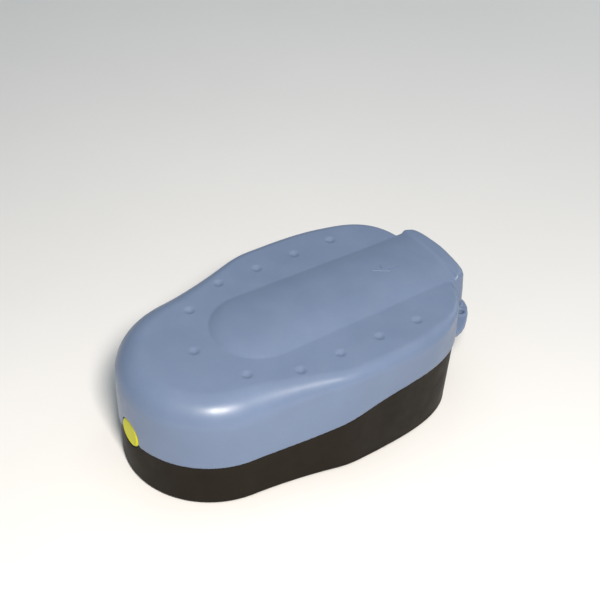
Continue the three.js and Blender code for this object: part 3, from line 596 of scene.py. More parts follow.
def base_bores():
    """Bores from above and below: x, y, radius and both ends."""
    for bx, by, joint in BOSSES:
        yield bx, by, 4.4, -1, joint - 6
        yield bx, by, 2.2, -1, joint + 2
    for screw, foot in zip(numbered("board_screw", 4), numbered("rubber_foot", 4)):
        yield *middle(screw)[:2], PILOT_R, FLOOR_Z + 1, 20
        yield *middle(foot)[:2], 8.3, -1, FOOT_PROUD + 1
    for screw, side in zip(numbered("strap_screw", 2), (-1, 1)):
        yield *middle(screw)[:2], PILOT_R, FLOOR_Z + 0.5, 20
        yield side * BRACKET_SCREW[0], BRACKET_SCREW[1], PILOT_R, 3.6, 12


def gasket_field(x, y, z, *_):
    side = between(-case_plan(x, y), 2.7, 3.9)
    ring = rounded(side, between(z, parting(y) - 2.7, parting(y) - GAP), 0.45)
    return common(ring, button_hole(x, y, z, 13.2))


# ---- power button and switch

BUTTON = turned([
    [0, FACE_Y + 0.1], [8.0, FACE_Y - 0.1], [8.9, FACE_Y - 0.35], [9.8, FACE_Y + 0.1],
    [BUTTON_R, FACE_Y + 0.9], [BUTTON_R, FACE_Y + 1.5], [9.6, FACE_Y + 1.5], [9.6, FACE_Y + 2.9],
    [BUTTON_R, FACE_Y + 2.9], [BUTTON_R, BUTTON_STOP_Y], [12, BUTTON_STOP_Y],
    [12, BUTTON_STOP_Y + 1.6], [BUTTON_R, BUTTON_STOP_Y + 1.6], [BUTTON_R, BUTTON_SKIRT_Y],
    [8.4, BUTTON_SKIRT_Y], [8.4, -124], [2.6, -124], [2.6, -111.6], [0, -111.6],
], 0.35)
SEAL_RING = turned([
    [9.9, FACE_Y + 1.8], [10.7, FACE_Y + 1.8], [10.75, FACE_Y + 2.2], [10.7, FACE_Y + 2.6],
    [9.9, FACE_Y + 2.6],
], 0.3)
LED = turned([
    [0, -111], [1.3, -110.7], [2.0, -109.9], [2.2, -108.8], [2.2, -102.4], [2.5, -102.4],
    [2.5, BOARD_Y - BOARD_HALF], [0, BOARD_Y - BOARD_HALF],
], 0.2)


def about_y(make, height):
    """A field made of u, v and y about the line along Y at a height, through a node's middle."""
    def field(x, y, z, low, high):
        return make(x - (low[0] + high[0]) / 2, z - height, y, low, high)

    return field


def about_button(profile):
    return about_y(lambda u, v, y, *_: profile(hypot(u, v), y), BUTTON_Z)


def guide_field(x, y, z, *_):
    across = hypot(x, z - BUTTON_Z)
    led = hypot(x - middle("pulse_led")[0], z - BUTTON_Z)
    return common(
        rod(across, y, 14.4, -121.4, -105.6, 0.6), -rod(across, y, 12.6, -125, -107.6, 0.8),
        -rod(across, y, 2.3, -112, NOSE_Y), 2.9 - led)


def switch_field(x, y, z, low, high):
    across = hypot(x, z - BUTTON_Z)
    groove = abs(y - low[1] - 1.1) - 0.2
    edge = common(abs(x), abs(z - BUTTON_Z)) - 3.95
    body = cut(block(x, y, z, low, high, 0.35),
               rod(across, y, 2, -110, -101.6), common(groove, -edge))
    pin = hypot(abs(x) - 3.2, abs(z - BUTTON_Z) - 3.2)
    return cut(body, rod(pin, y, 0.5, low[1] - 1, low[1] + 0.3))


def plunger_field(x, y, z, low, high):
    return rod(hypot(x, z - BUTTON_Z), y, 1.7, low[1], high[1], 0.35)


def front_board_field(x, y, z, low, high):
    hole = hypot(abs(x) - 13.6, z - high[2] + 4)
    return common(block(x, y, z, low, high, 0.25), 1.3 - hole)


def spring():
    """The return spring behind the button, as a coil of round wire with closed end turns."""
    low, high = span("button_spring")
    wire_r, coil_r, turns, closed_share = 0.45, 11.4, 5.5, 0.13
    t = np.linspace(0, 1, 420)
    angle = 2 * math.pi * turns * t
    open_share = clip((t - closed_share) / (1 - 2 * closed_share), 0, 1)
    along = low[1] + wire_r + (high[1] - low[1] - 2 * wire_r) * open_share
    ends = clip(t / closed_share, 0, 1) + clip((t - 1 + closed_share) / closed_share, 0, 1)
    along = clip(along + 0.95 * (ends - 1), low[1] + wire_r, high[1] - wire_r)
    path = np.stack([coil_r * np.cos(angle), along, BUTTON_Z + coil_r * np.sin(angle)], 1)
    piece = tube("button_spring_form", path, wire_r, 10)
    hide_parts("button_spring")
    dress(piece, "case", "steel")
    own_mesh(piece)


def tube(name, path, radius, around):
    """A round wire along a path, closed by a fan at each end."""
    ahead = np.gradient(path, axis=0)
    ahead /= np.linalg.norm(ahead, axis=1, keepdims=True)
    side = np.cross(ahead, [0, 1, 0])
    side /= np.linalg.norm(side, axis=1, keepdims=True)
    other = np.cross(ahead, side)
    a = (np.arange(around) * 2 * math.pi / around)[None, :, None]
    rings = path[:, None] + radius * (np.cos(a) * side[:, None] + np.sin(a) * other[:, None])
    last = (len(path) - 1) * around
    ends = len(path) * around
    steps = [(j, (j + 1) % around) for j in range(around)]
    faces = [(i + j, i + k, i + around + k, i + around + j)
             for i in range(0, last, around) for j, k in steps]
    for j, k in steps:
        faces += [(ends, k, j), (ends + 1, last + j, last + k)]
    mesh = bpy.data.meshes.new(name)
    corners = np.array([*rings.reshape(-1, 3), path[0], path[-1]])
    mesh.from_pydata((corners * MM).tolist(), [], faces)
    mesh.polygons.foreach_set("use_smooth", np.ones(len(mesh.polygons), bool))
    return linked(name, mesh)


# ---- screws and feet

CASE_SCREW_HEAD = turned([[0, 0], [2.6, 0], [3.7, 1.2], [3.7, 2.6], [0, 2.6]], 0.4)
SMALL_SCREW_HEAD = turned([[0, 0], [2.8, 0], [2.8, 1.1], [1.8, 2], [0, 2]], 0.3)
FOOT = turned([
    [0, 0.6], [3.2, 0.6], [3.6, 0], [4.4, 0], [4.8, 0.4], [5.2, 0.4], [5.6, 0], [6.8, 0],
    [8, 0.9], [8, FOOT_PROUD + 0.7], [0, FOOT_PROUD + 0.7],
], 0.25)


def from_axis(x, y, low, high):
    """Place seen from the upright axis through a node's middle."""
    return x - (low[0] + high[0]) / 2, y - (low[1] + high[1]) / 2


def case_screw_field(x, y, z, low, high):
    u, v = from_axis(x, y, low, high)
    across, up = hypot(u, v), z - low[2]
    recess = common(cross_recess(u, v, 0.5, 2.2) + 0.25 * up, up - 1.5)
    cap = soft_max(CASE_SCREW_HEAD(across, up), -recess, 0.2)
    point = (z - high[2] + 3) * 0.5
    shank = common(thread(u, v, z, 1.7, 1.6, 0.5), across + point - 1.7, 1.6 - up, z - high[2])
    return soft_min(cap, shank, 0.3)


def small_screw_field(x, y, z, low, high):
    u, v = from_axis(x, y, low, high)
    up = z - high[2] + 2
    recess = common(cross_recess(u, v, 0.4, 1.7), 1 - up)
    cap = cut(SMALL_SCREW_HEAD(hypot(u, v), up), recess)
    shank = common(thread(u, v, z, 1.2, 1.0, 0.3), low[2] - z, up - 0.5)
    return soft_min(cap, shank, 0.2)


def foot_field(x, y, z, low, high):
    return FOOT(hypot(*from_axis(x, y, low, high)), z)


# ---- terminals and socket

HINGE_Y, HINGE_Z = middle("socket_flap_pin")[1:]


def stud(u, v, y, low, high):
    ends = between(y, low[1], high[1])
    return common(thread(u, v, y, 3.0, 1.0, 0.45), ends, hypot(u, v) + ends - 2.5)


def nut(across_flats, bore):
    def field(u, v, y, low, high):
        ends = between(y, low[1], high[1])
        across = hypot(u, v)
        dome = across + 0.6 * ends - across_flats * 0.545
        sides = common(hexagon(u, v, across_flats), ends, dome)
        return soft_max(sides, bore - across - common(ends + 0.5, 0), 0.1)

    return field


def washer(u, v, y, low, high):
    across = hypot(u, v)
    groove = common(abs(across - 5.2) - 0.25, y - low[1] - 0.25)
    return common(rod(across, y, 7, low[1], high[1], 0.3), STUD_HOLE_R - across, -groove)


def knob(u, v, y, low, high):
    across, angle = hypot(u, v), np.arctan2(v, u)
    grip = clip(np.cos(8 * angle), -0.2, 1)
    along = (y - low[1]) / (high[1] - low[1])
    wave = 7.35 + 0.95 * grip * smoothstep(along, 0.02, 0.14) * smoothstep(-along, -0.9, -0.7)
    wave = wave - 0.25 * along
    body = rounded(across - wave, between(y, low[1], high[1]), 1.1)
    dish = common(across - 4.4, high[1] - 0.5 - y)
    body = soft_max(body, -dish, 0.4)
    return cut(body, common(across - 3.4, y - high[1] + 1.6))


def lug(u, v, y, low, high):
    across = hypot(u, v)
    eye = common(rod(across, y, 5, low[1], high[1], 0.2), STUD_HOLE_R - across)
    neck = block(u, y, v, (-2, low[1], 4), (2, high[1], 11), 0.25)
    return soft_min(eye, neck, 0.8)


def socket_field(x, y, z, low, _):
    face_y = PAD_Y + GAP
    across = hypot(x, z - TERMINAL_Z)
    body = soft_min(
        common(thread(x, z - TERMINAL_Z, y, 6.0, 1.2, 0.4), between(y, low[1], face_y)),
        rod(across, y, 9, face_y, face_y + 2, 0.5), 0.3)
    lip = abs(across - 6.6) - 0.5
    body = cut(body, rod(across, y, 3.2, 103, 130), common(lip, face_y + 1.6 - y))
    for side in (-1, 1):
        x0, x1 = side * 4.8 - 1.2, side * 4.8 + 1.2
        low_lug = block(x, y, z, (x0, face_y, TERMINAL_Z + 6.5), (x1, face_y + 2, HINGE_Z + 2), 0.3)
        eye = rod(hypot(y - HINGE_Y, z - HINGE_Z), x, 2.1, x0, x1, 0.3)
        web = block(x, y, z, (x0, face_y, TERMINAL_Z + 8.6), (x1, HINGE_Y + 1.9, HINGE_Z), 0.3)
        body = soft_min(body, np.minimum(np.minimum(low_lug, eye), web), 0.3)
    return common(body, HINGE_HOLE_R - hypot(y - HINGE_Y, z - HINGE_Z))


def socket_pin_field(x, y, z, low, high):
    return rod(hypot(x, z - TERMINAL_Z), y, 0.9, low[1], high[1], 0.35)


def flap_field(x, y, z, *_):
    inner, outer = PAD_Y + 2.6, PAD_Y + 4.4
    across = hypot(x, z - TERMINAL_Z)
    disc = rod(across, y, 8.6, inner, outer, 0.5)
    ring = common(abs(across - 5.6) - 0.5, outer - 0.35 - y)
    disc = soft_max(disc, -ring, 0.2)
    barrel = rod(hypot(y - HINGE_Y, z - HINGE_Z), x, 2, -3.3, 3.3, 0.3)
    strap = block(x, y, z, (-3.3, inner, TERMINAL_Z + 6), (3.3, outer, HINGE_Z), 0.4)
    tab = block(x, y, z, (-3, inner + 0.4, TERMINAL_Z - 10.4), (3, outer, TERMINAL_Z - 7), 0.5)
    for i in range(3):
        tab = cut(tab, hypot(y - outer, z - TERMINAL_Z + 9.9 - 0.9 * i) - 0.25)
    flap = soft_min(soft_min(disc, tab, 0.5), soft_min(strap, barrel, 0.5), 0.5)
    return common(flap, HINGE_HOLE_R - hypot(y - HINGE_Y, z - HINGE_Z))


def flap_pin_field(x, y, z, low, high):
    return rod(hypot(y - HINGE_Y, z - HINGE_Z), x, 0.9, low[0], high[0], 0.3)


# ---- battery


def battery_field(x, y, z, low, high):
    seam = high[1] - 6.5
    body = block(x, y, z, low, (high[0], seam, high[2]), 2.0)
    lid = block(x, y, z, low + [0.8, 80, 0.8], high - [0.8, 0, 0.8], 1.6)
    body = soft_min(body, lid, 0.5)
    cx, _, cz = (low + high) / 2
    panel = rounded(abs(x - cx) - 32, abs(z - cz + 8) - 11, 2.5)
    vent = common(abs(panel) - 0.6, high[1] - 0.9 - y)
    body = soft_max(body, -vent, 0.4)
    for i in range(6):
        left = cx - 27 + i * 10
        body = cut(body, block(x, y, z, (left, high[1] - 0.8, cz - 15),
                               (left + 4, high[1] + 1, cz - 1), 0.3))
    side = common(abs(y - low[1] - 42) - 34, abs(z - cz) - 27)
    window = common(side, high[0] - 0.7 - abs(x))
    return soft_max(body, -window, 0.8)


def tab_field(x, y, z, low, high):
    cx, blade_z = (low[0] + high[0]) / 2, 60.0
    foot = block(x, y, z, low, (high[0], low[1] + 1.2, high[2]), 0.3)
    blade = block(x, y, z, (cx - 2.4, low[1], blade_z - 0.45), (cx + 2.4, high[1], blade_z + 0.45),
                  0.2)
    blade = common(blade, 0.8 - hypot(x - cx, y - high[1] + 2.2))
    return soft_min(foot, blade, 0.5)


def bent_strip(x, y, z, low, high, half, radii, foot, screw):
    """A strip bent over something `half` wide, with a foot and a screw hole at each side."""
    thick, side, bottom = 1.5, abs(x), low[2]
    top = high[2] - thick
    outside = rounded(side - half - thick, z - top - thick, radii[0])
    bow = common(outside, -rounded(side - half, z - top, radii[1]), bottom - z)
    feet = common(abs(side - foot[0]) - foot[1], between(z, bottom, bottom + thick))
    strip = rounded(soft_min(bow, feet, foot[2]), between(y, low[1], high[1]), radii[2])
    hole = CLEAR_R - hypot(side - screw[0], y - screw[1])
    return common(strip, np.where(z < bottom + 2 * thick, hole, -FAR))


def strap_field(x, y, z, low, high):
    half, screw = span("battery_case")[1][0] + 0.5, middle("strap_screw_2")
    strip = bent_strip(x, y, z, low, high, half, (3.0, 1.5, 0.5), (52.5, 6, 1.2), screw)
    groove = common(abs(between(y, low[1], high[1]) + 5.6) - 0.9, abs(x) - half + 6)
    return soft_max(strip, -common(groove, high[2] - 0.5 - z), 0.3)


def foam_field(x, y, z, low, high):
    """Cut foam: crowned faces, and edges that bulge a little under the strap."""
    mid, half = (low + high) / 2, (high - low) / 2
    bulge = 0.9 * (1 - clip(abs(z - mid[2]) / half[2], 0, 1) ** 2)
    sides = abs(x - mid[0]) - half[0], abs(y - mid[1]) - half[1]
    crown = 0.35 * (1 - clip(common(*sides) / -6, 0, 1)) ** 2
    plan = rounded(*sides, 2.0)
    return rounded(plan + 0.9 - bulge, abs(z - mid[2]) - half[2] + crown, 0.9)


# ---- circuit


def board_field(x, y, z, low, high):
    mid, half = (low + high) / 2, (high - low) / 2
    plan = rounded(abs(x) - high[0], abs(y - mid[1]) - half[1], 1.5)
    board = rounded(plan, abs(z - mid[2]) - half[2], 0.15)
    for node in numbered("board_screw", 4):
        cx, cy, _ = middle(node)
        board = common(board, CLEAR_R - hypot(x - cx, y - cy))
    return board


def film_capacitor_field(x, y, z, low, high):
    u, v = from_axis(x, y, low, high)
    inset = common(abs(u) - 12, abs(v) - 15)
    body = block(x, y, z, low, high, 1.6)
    return soft_max(body, -common(inset, high[2] - 0.4 - z), 0.4)


def core_field(x, y, z, low, high):
    """A laminated core with a window on each side of its middle limb."""
    limb, mid = (high[0] - low[0]) * 0.2, (low[0] + high[0]) / 2
    body = block(x, y, z, low, high, 0.5)
    for side in (-1, 1):
        near, far = mid + side * limb * 0.7, mid + side * (high[0] - mid - limb)
        window = block(x, y, z, (min(near, far), low[1] - 5, low[2] + limb),
                       (max(near, far), high[1] + 5, high[2] - limb))
        body = soft_max(body, -window, 0.4)
    return body


def split_core_field(x, y, z, low, high):
    """The same form pressed in two halves, with the seam between them."""
    body = core_field(x, y, z, low, high)
    return cut(body, common(abs(z - (low[2] + high[2]) / 2) - 0.4, -body - 0.3))


def winding_field(core, turns):
    """A wound bobbin between two flanges, round the middle limb of a core."""
    core_low, core_high = span(core)
    core_gap = (core_high[0] - core_low[0]) * 0.2 * 0.7 + GAP

    def field(x, y, z, low, high):
        mid, half = (low + high) / 2, (high - low) / 2
        pitch = (high[2] - low[2] - 2.4) / turns
        ridge = 0.22 * abs(np.sin(math.pi * (z - low[2] - 1.2) / pitch))
        sides = abs(x - mid[0]) - half[0], abs(y - mid[1]) - half[1]
        up = abs(z - mid[2])
        pack = common(rounded(*sides, 3.2) + 0.5 - ridge, up - half[2] + 1.2)
        flanges = common(rounded(*sides, 1.0), up - half[2], half[2] - 0.9 - up)
        hole = common(abs(x - mid[0]) - core_gap,
                          between(y, core_low[1] - GAP, core_high[1] + GAP))
        return cut(np.minimum(pack, flanges), hole)

    return field


def can_profile():
    low, high = span("filter_capacitor")
    top = high[2] - low[2]
    return turned([
        [0, 0], [7.4, 0], [8, 0.6], [8, 2.2], [7.5, 2.7], [8, 3.2], [8, top - 0.9],
        [7.3, top], [6.2, top], [6.0, top - 0.3], [0, top - 0.3],
    ], 0.3)


CAN = can_profile()


def can_field(x, y, z, low, high):
    u, v = from_axis(x, y, low, high)
    across = hypot(u, v)
    arms = np.minimum(abs(u) - 0.25, abs(v) - 0.25)
    return cut(CAN(across, z - low[2]), common(arms, across - 5, high[2] - 0.35 - z))


def heat_sink_field(x, y, z, low, high):
    plate = block(x, y, z, low, (high[0], low[1] + 2, high[2]), 0.3)
    pitch, thick = 5.4, 1.6
    near = clip(np.round((x - low[0] - thick / 2) / pitch), 0, 5)
    fin = abs(x - low[0] - thick / 2 - near * pitch) - thick / 2 + 0.03 * (y - low[1])
    fins = rounded(fin, between(y, low[1] + 0.5, high[1]), 0.3)
    return soft_min(plate, common(fins, between(z, low[2], high[2])), 0.6)


def thyristor_field(x, y, z, low, high):
    body = block(x, y, z, low, (high[0], high[1], low[2] + 9.2), 0.4)
    tab = block(x, y, z, (low[0], high[1] - 1.3, low[2] + 8), high, 0.3)
    cx = (low[0] + high[0]) / 2
    tab = common(tab, 1.8 - hypot(x - cx, z - high[2] + 3))
    mark = rod(hypot(x - cx, z - low[2] - 7.2), y, 0.9, low[1] - 1, low[1] + 0.3)
    return cut(soft_min(body, tab, 0.2), mark)


def fuse_field(x, y, z, low, high):
    holder = block(x, y, z, low, (high[0], high[1], low[2] + 5), 0.5)
    cap = block(x, y, z, low + [1.2, 0.7, 4], high - [1.2, 0.7, 0], 0.5)
    window = block(x, y, z, low + [2.2, -1, 6.5], high - [2.2, -1, 2.5], 0.4)
    window = common(window, 1.4 - abs(y - (low[1] + high[1]) / 2))
    return cut(soft_min(holder, cap, 0.2), window)


def plug_field(x, y, z, low, high):
    body = block(x, y, z, low, high, 0.4)
    for i in range(4):
        left = low + [1.8 + i * 5.6, 0, 0]
        pocket = block(x, y, z, left + [0, 1.2, 4], (left[0] + 3.6, low[1] + 4.4, high[2] + 1), 0.2)
        latch = block(x, y, z, left + [0.8, -1, 5], left + [2.8, 0.4, 7], 0.1)
        body = cut(body, pocket, latch)
    return body


def bracket_field(x, y, z, low, high):
    core_low, core_high = span("output_core")
    half = (core_high[0] - core_low[0]) / 2 + 0.5
    return bent_strip(x, y, z, low, high, half, (2.4, 1.0, 0.4), (27.5, 4, 1.0), BRACKET_SCREW)


def small_parts_field(x, y, z):
    """Rows of resistors, diodes and chips soldered on the free parts of the main board."""
    top = span("main_board")[1][2]
    made = np.full(np.broadcast_shapes(x.shape, y.shape, z.shape), FAR)
    for cx, cy, wide, long, tall in SMALL_PARTS:
        body = block(x, y, z, (cx - wide / 2, cy - long / 2, top - 0.1),
                     (cx + wide / 2, cy + long / 2, top + tall), 0.2)
        made = np.minimum(made, body)
    return made


# ---- finishes


def node(tree, kind, inputs=None, **settings):
    made = tree.nodes.new("ShaderNode" + kind)
    for key, value in settings.items():
        setattr(made, key, value)
    for key, value in (inputs or {}).items():
        if isinstance(value, bpy.types.NodeSocket):
            tree.links.new(value, made.inputs[key])
        else:
            made.inputs[key].default_value = value
    return made


def tinted(factor, first, second):
    made = node(factor.id_data, "Mix", {0: factor, 6: first, 7: second}, data_type="RGBA")
    return made.outputs[2]


def ranged(value, low, high, to_low, to_high):
    made = node(value.id_data, "MapRange", {0: value, 1: low, 2: high, 3: to_low, 4: to_high})
    return made.outputs[0]


def sum_or_product(operation, first, second):
    made = node(first.id_data, "Math", {0: first, 1: second}, operation=operation)
    made.use_clamp = operation == "ADD"
    return made.outputs[0]


def noise(place, scale, detail=3.0, stretch=None):
    if stretch:
        place = node(place.id_data, "Mapping", {"Vector": place, "Scale": stretch}).outputs[0]
    made = node(place.id_data, "TexNoise", {"Vector": place, "Scale": scale, "Detail": detail})
    return made.outputs["Fac"]


def shade(colour, by):
    return (*[min(c * by, 1.0) for c in colour], 1.0)


def surface_material(name):
    """A new material, its node tree, its shader and the place on the surface."""
    material = bpy.data.materials.new(name)
    material.use_nodes = True
    tree = material.node_tree
    return material, tree, tree.nodes["Principled BSDF"], node(tree, "TexCoord").outputs["Object"]


def plastic(colour, rough, **more):
    return dict(colour=colour, rough=rough, grain=2600.0, relief=0.00002, blotch=0.05,
                wear=0.10, vary=0.06, **more)


def metal(colour, rough, **more):
    return dict(colour=colour, rough=rough, grain=900.0, relief=0.000015, blotch=0.10,
                wear=0.25, vary=0.12, metal=1.0, stretch=(1.0, 0.06, 1.0), **more)


LOOKS = {
    "cover_plastic": plastic((0.141, 0.193, 0.307), 0.36),
    "base_plastic": plastic((0.012, 0.0085, 0.005), 0.55, specular=0.12),
    "yellow_plastic": plastic((0.62, 0.60, 0.006), 0.42, specular=0.2),
    "black_plastic": plastic((0.014, 0.014, 0.014), 0.48),
    "red_plastic": plastic((0.42, 0.018, 0.012), 0.36),
    "green_plastic": plastic((0.022, 0.19, 0.045), 0.36),
    "capacitor_plastic": plastic((0.02, 0.08, 0.26), 0.35),
    "battery_plastic": plastic((0.03, 0.032, 0.036), 0.5),
    "sleeve_plastic": plastic((0.012, 0.016, 0.03), 0.3),
    "cream_plastic": plastic((0.68, 0.62, 0.47), 0.5),
    "fuse_plastic": plastic((0.62, 0.14, 0.012), 0.25),
    "led_lens": plastic((0.16, 0.62, 0.08), 0.12, clear=0.5),
    "seal_rubber": dict(colour=(0.016, 0.016, 0.016), rough=0.78, grain=1500.0, relief=0.00004,
                        blotch=0.12, wear=0.12, vary=0.1, dust=0.18),
    "foam": dict(colour=(0.035, 0.035, 0.038), rough=0.95, cells=700.0, relief=0.0005,
                 blotch=0.15, wear=0.1, vary=0.03),
    "circuit_board": dict(colour=(0.012, 0.11, 0.035), rough=0.3, traces=420.0, relief=0.00004,
                          blotch=0.05, wear=0.05, vary=0.06),
    "ferrite": dict(colour=(0.09, 0.095, 0.10), rough=0.55, layers=1100.0, relief=0.00005,
                    blotch=0.12, wear=0.15, vary=0.1),
    "steel": metal((0.52, 0.53, 0.54), 0.3),
    "dark_steel": metal((0.13, 0.135, 0.14), 0.45),
    "brass": metal((0.62, 0.42, 0.15), 0.3),
    "copper": metal((0.52, 0.17, 0.06), 0.25, coat=0.4),
    "aluminium": metal((0.60, 0.61, 0.62), 0.38),
}
DUST = (0.45, 0.43, 0.40, 1.0)
WAVINESS = 0.00012  # metres of slow relief, as moulded and cast faces have


@functools.cache
def finish(slot):
    return make_finish(slot, **LOOKS[slot])


def make_finish(slot, colour, rough, relief, blotch, wear, vary, metal=0.0, grain=None,
                cells=None, traces=None, layers=None, stretch=None, dust=0.04, clear=0.0,
                coat=0.0, specular=0.5):
    """Moulded, machined or foamed surface: colour drift, worn edges, dust, gloss drift, relief."""
    material, tree, shader, place = surface_material(slot)
    geometry = node(tree, "NewGeometry")

    drift = ranged(noise(place, 28.0, 4.0), 0.3, 0.7, 0.0, 1.0)
    tone = tinted(drift, shade(colour, 1 - blotch), shade(colour, 1 + blotch))
    speckle = ranged(noise(place, 420.0, 2.0), 0.35, 0.75, 0.0, 0.25)
    tone = tinted(speckle, tone, shade(colour, 1 - 2 * blotch))

    if grain:
        height = noise(place, grain, 3.0, stretch)
    elif cells:
        found = node(tree, "TexVoronoi", {"Vector": place, "Scale": cells}, feature="F1")
        height = found.outputs["Distance"]
        tone = tinted(ranged(height, 0.1, 0.7, 0.0, 0.7), tone, shade(colour, 0.35))
    elif traces:
        bricks = node(tree, "TexBrick", {
            "Vector": place, "Scale": traces, "Mortar Size": 0.012, "Mortar Smooth": 0.2,
            "Row Height": 0.35, "Brick Width": 0.9,
        })
        height = bricks.outputs["Fac"]
        tone = tinted(height, tone, shade(colour, 0.45))
    elif layers:
        waves = node(tree, "TexWave", {"Vector": place, "Scale": layers, "Distortion": 0.0},
                     bands_direction="Y")
        height = waves.outputs["Fac"]

    edge = ranged(geometry.outputs["Pointiness"], 0.52, 0.60, 0.0, wear)
    patchy = ranged(noise(place, 160.0), 0.35, 0.65, 0.3, 1.0)
    worn = sum_or_product("MULTIPLY", edge, patchy)
    tone = tinted(worn, tone, shade([c * 1.35 + 0.05 for c in colour], 1.0))

    upward = node(tree, "SeparateXYZ", {0: geometry.outputs["Normal"]}).outputs["Z"]
    lying = ranged(upward, 0.2, 1.0, 0.0, dust)
    patchy = ranged(noise(place, 60.0, 5.0), 0.3, 0.7, 0.2, 1.0)
    settled = sum_or_product("MULTIPLY", lying, patchy)
    tree.links.new(tinted(settled, tone, DUST), shader.inputs["Base Color"])

    gloss = ranged(noise(place, 75.0, 5.0), 0.3, 0.7,
                   max(rough - vary, 0.02), min(rough + vary, 1.0))
    tree.links.new(sum_or_product("ADD", gloss, settled), shader.inputs["Roughness"])

    fine = node(tree, "Bump", {"Height": height, "Strength": 1.0, "Distance": relief})
    broad = node(tree, "Bump", {"Height": noise(place, 45.0, 2.0), "Strength": 1.0,
                                "Distance": WAVINESS, "Normal": fine.outputs[0]})
    tree.links.new(broad.outputs[0], shader.inputs["Normal"])
    for socket, value in {
        "Metallic": metal, "IOR": 1.5, "Specular IOR Level": specular, "Coat Weight": coat,
        "Coat Roughness": 0.15, "Transmission Weight": clear,
    }.items():
        shader.inputs[socket].default_value = value
    return material


# ---- camera, floor and light


def camera(azimuth, elevation, roll, distance, aim, around, lens):
    """The photograph's viewpoint: angles in degrees round a point, shifted sideways and up."""
    az, el, turn = (math.radians(v) for v in (azimuth, elevation, roll))
    back = Vector((math.sin(az) * math.cos(el), -math.cos(az) * math.cos(el), math.sin(el)))
    level = Vector((math.cos(az), math.sin(az), 0))
    over = back.cross(level)
    right = math.cos(turn) * level + math.sin(turn) * over
    up = math.cos(turn) * over - math.sin(turn) * level
    data = bpy.data.cameras.new("camera")
    data.lens, data.sensor_width = lens, 36.0
    axes = Matrix((right, up, back)).transposed().to_4x4()
    axes.translation = Vector(around) + back * distance + right * aim[0] + up * aim[1]
    made = linked("camera", data)
    made.matrix_world = axes
    bpy.context.scene.camera = made


def stage(size):
    """A square of pale floor, `size` metres from its middle to its sides."""
    mesh = bpy.data.meshes.new("floor")
    corners = [(-size, -size, 0), (size, -size, 0), (size, size, 0), (-size, size, 0)]
    mesh.from_pydata(corners, [], [(0, 1, 2, 3)])
    linked("floor", mesh)
    material, tree, shader, place = surface_material("pale_floor")
    drift = ranged(noise(place, 3.0), 0.3, 0.7, 0.0, 1.0)
    tone = tinted(drift, (0.80, 0.785, 0.77, 1), (0.83, 0.815, 0.80, 1))
    tree.links.new(tone, shader.inputs["Base Color"])
    gloss = ranged(noise(place, 30.0), 0.3, 0.7, 0.75, 0.9)
    tree.links.new(gloss, shader.inputs["Roughness"])
    mesh.materials.append(material)


LIGHT_AIM = (0, -0.04, 0.06)


def area_light(name, direction, distance, size, power, colour=(1, 1, 1)):
    """A soft box `distance` metres from the case's middle, which it faces."""
    light = bpy.data.lights.new(name, "AREA")
    light.shape = "RECTANGLE"
    light.size, light.size_y = size
    light.energy = power
    light.color = colour
    lamp = linked(name, light)
    back = Vector(direction).normalized()
    lamp.location = Vector(LIGHT_AIM) + back * distance
    lamp.rotation_euler = back.to_track_quat("Z", "Y").to_euler()


def sky(colour, strength):
    world = bpy.data.worlds.new("studio")
    world.use_nodes = True
    background = world.node_tree.nodes["Background"]
    background.inputs["Color"].default_value = (*colour, 1.0)
    background.inputs["Strength"].default_value = strength
    bpy.context.scene.world = world


camera(azimuth=56.09, elevation=39.83, roll=1.24, distance=0.92812, aim=(0.06024, 0.09367),
       around=(0, -0.065, 0.0015), lens=80.42)
stage(size=4.0)
sky(colour=(0.76, 0.90, 1.0), strength=0.29)
area_light("key", direction=(0.61, -0.24, 0.75), distance=0.95, size=(0.18, 0.18), power=12.0,
           colour=(1.0, 0.94, 0.865))
area_light("back", direction=(-0.1, 0.9, 0.42), distance=1.7, size=(1.0, 0.8), power=4.5,
           colour=(0.93, 0.96, 1.0))
area_light("top", direction=(-0.3, 0.2, 0.93), distance=1.6, size=(1.2, 1.2), power=2.5)
bpy.context.scene.view_settings.view_transform = "Standard"

# ---- assembly: node, field, mesh step

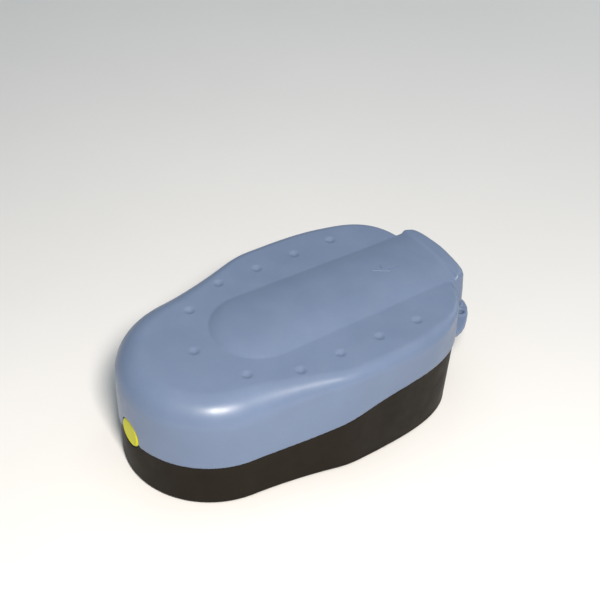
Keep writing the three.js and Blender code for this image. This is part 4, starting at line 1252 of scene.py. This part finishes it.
part("top_cover", cover_field, 1.0)
crest_z = TOP_Z + TONGUE_RISE
extra("cover_bolt_mark", bolt_field, (-5.5, BOLT_Y - 10.5, crest_z - 1.0),
      (5.5, BOLT_Y + 10.5, crest_z + 0.8), 0.25, "cover_plastic")
part("base_shell", base_field, 0.9)
part("seal_gasket", gasket_field, 0.7)

part("power_button", about_button(BUTTON), 0.45)
part("button_seal_ring", about_button(SEAL_RING), 0.25)
part("button_guide", guide_field, 0.6)
part("push_switch", switch_field, 0.25)
part("switch_plunger", plunger_field, 0.25)
part("pulse_led", about_button(LED), 0.2)
part("front_board", front_board_field, 0.8)
spring()

for name in numbered("case_screw", 6):
    part(name, case_screw_field, 0.3)
for name in numbered("rubber_foot", 4):
    part(name, foot_field, 0.35)

for side in ("fence", "earth"):
    for name, make, step in (
        ("stud", stud, 0.25), ("stud_nut", nut(10, STUD_HOLE_R), 0.35),
        ("clamp_washer", washer, 0.25), ("knob", knob, 0.35), ("lug", lug, 0.25),
    ):
        part(f"{side}_{name}", about_y(make, TERMINAL_Z), step)

part("solar_socket", socket_field, 0.35)
part("solar_socket_pin", socket_pin_field, 0.25)
part("solar_socket_nut", about_y(nut(16, SOCKET_HOLE_R), TERMINAL_Z), 0.4)
part("solar_socket_flap", flap_field, 0.3)
part("socket_flap_pin", flap_pin_field, 0.2)

part("battery_case", battery_field, 1.1)
for pole in ("positive", "negative"):
    part(f"battery_tab_{pole}", tab_field, 0.3)
part("battery_strap", strap_field, 0.7)
foam_pad = part("battery_foam_pad", foam_field, 0.7)
for name in numbered("strap_screw", 2):
    part(name, small_screw_field, 0.25)

part("main_board", board_field, 0.8)
extra("board_small_parts", small_parts_field, (-44, 27, 17), (46, 71, 22), 0.35, "black_plastic")
for name in numbered("board_screw", 4):
    part(name, small_screw_field, 0.25)
part("storage_capacitor", film_capacitor_field, 0.8)
part("charger_core", split_core_field, 0.5)
part("charger_winding", winding_field("charger_core", 14), 0.4)
part("filter_capacitor", can_field, 0.45)
part("heat_sink", heat_sink_field, 0.5)
part("thyristor", thyristor_field, 0.35)
part("blade_fuse", fuse_field, 0.3)
part("lead_plug", plug_field, 0.3)
part("output_core", core_field, 0.8)
part("output_winding", winding_field("output_core", 22), 0.5)
part("output_bracket", bracket_field, 0.5)
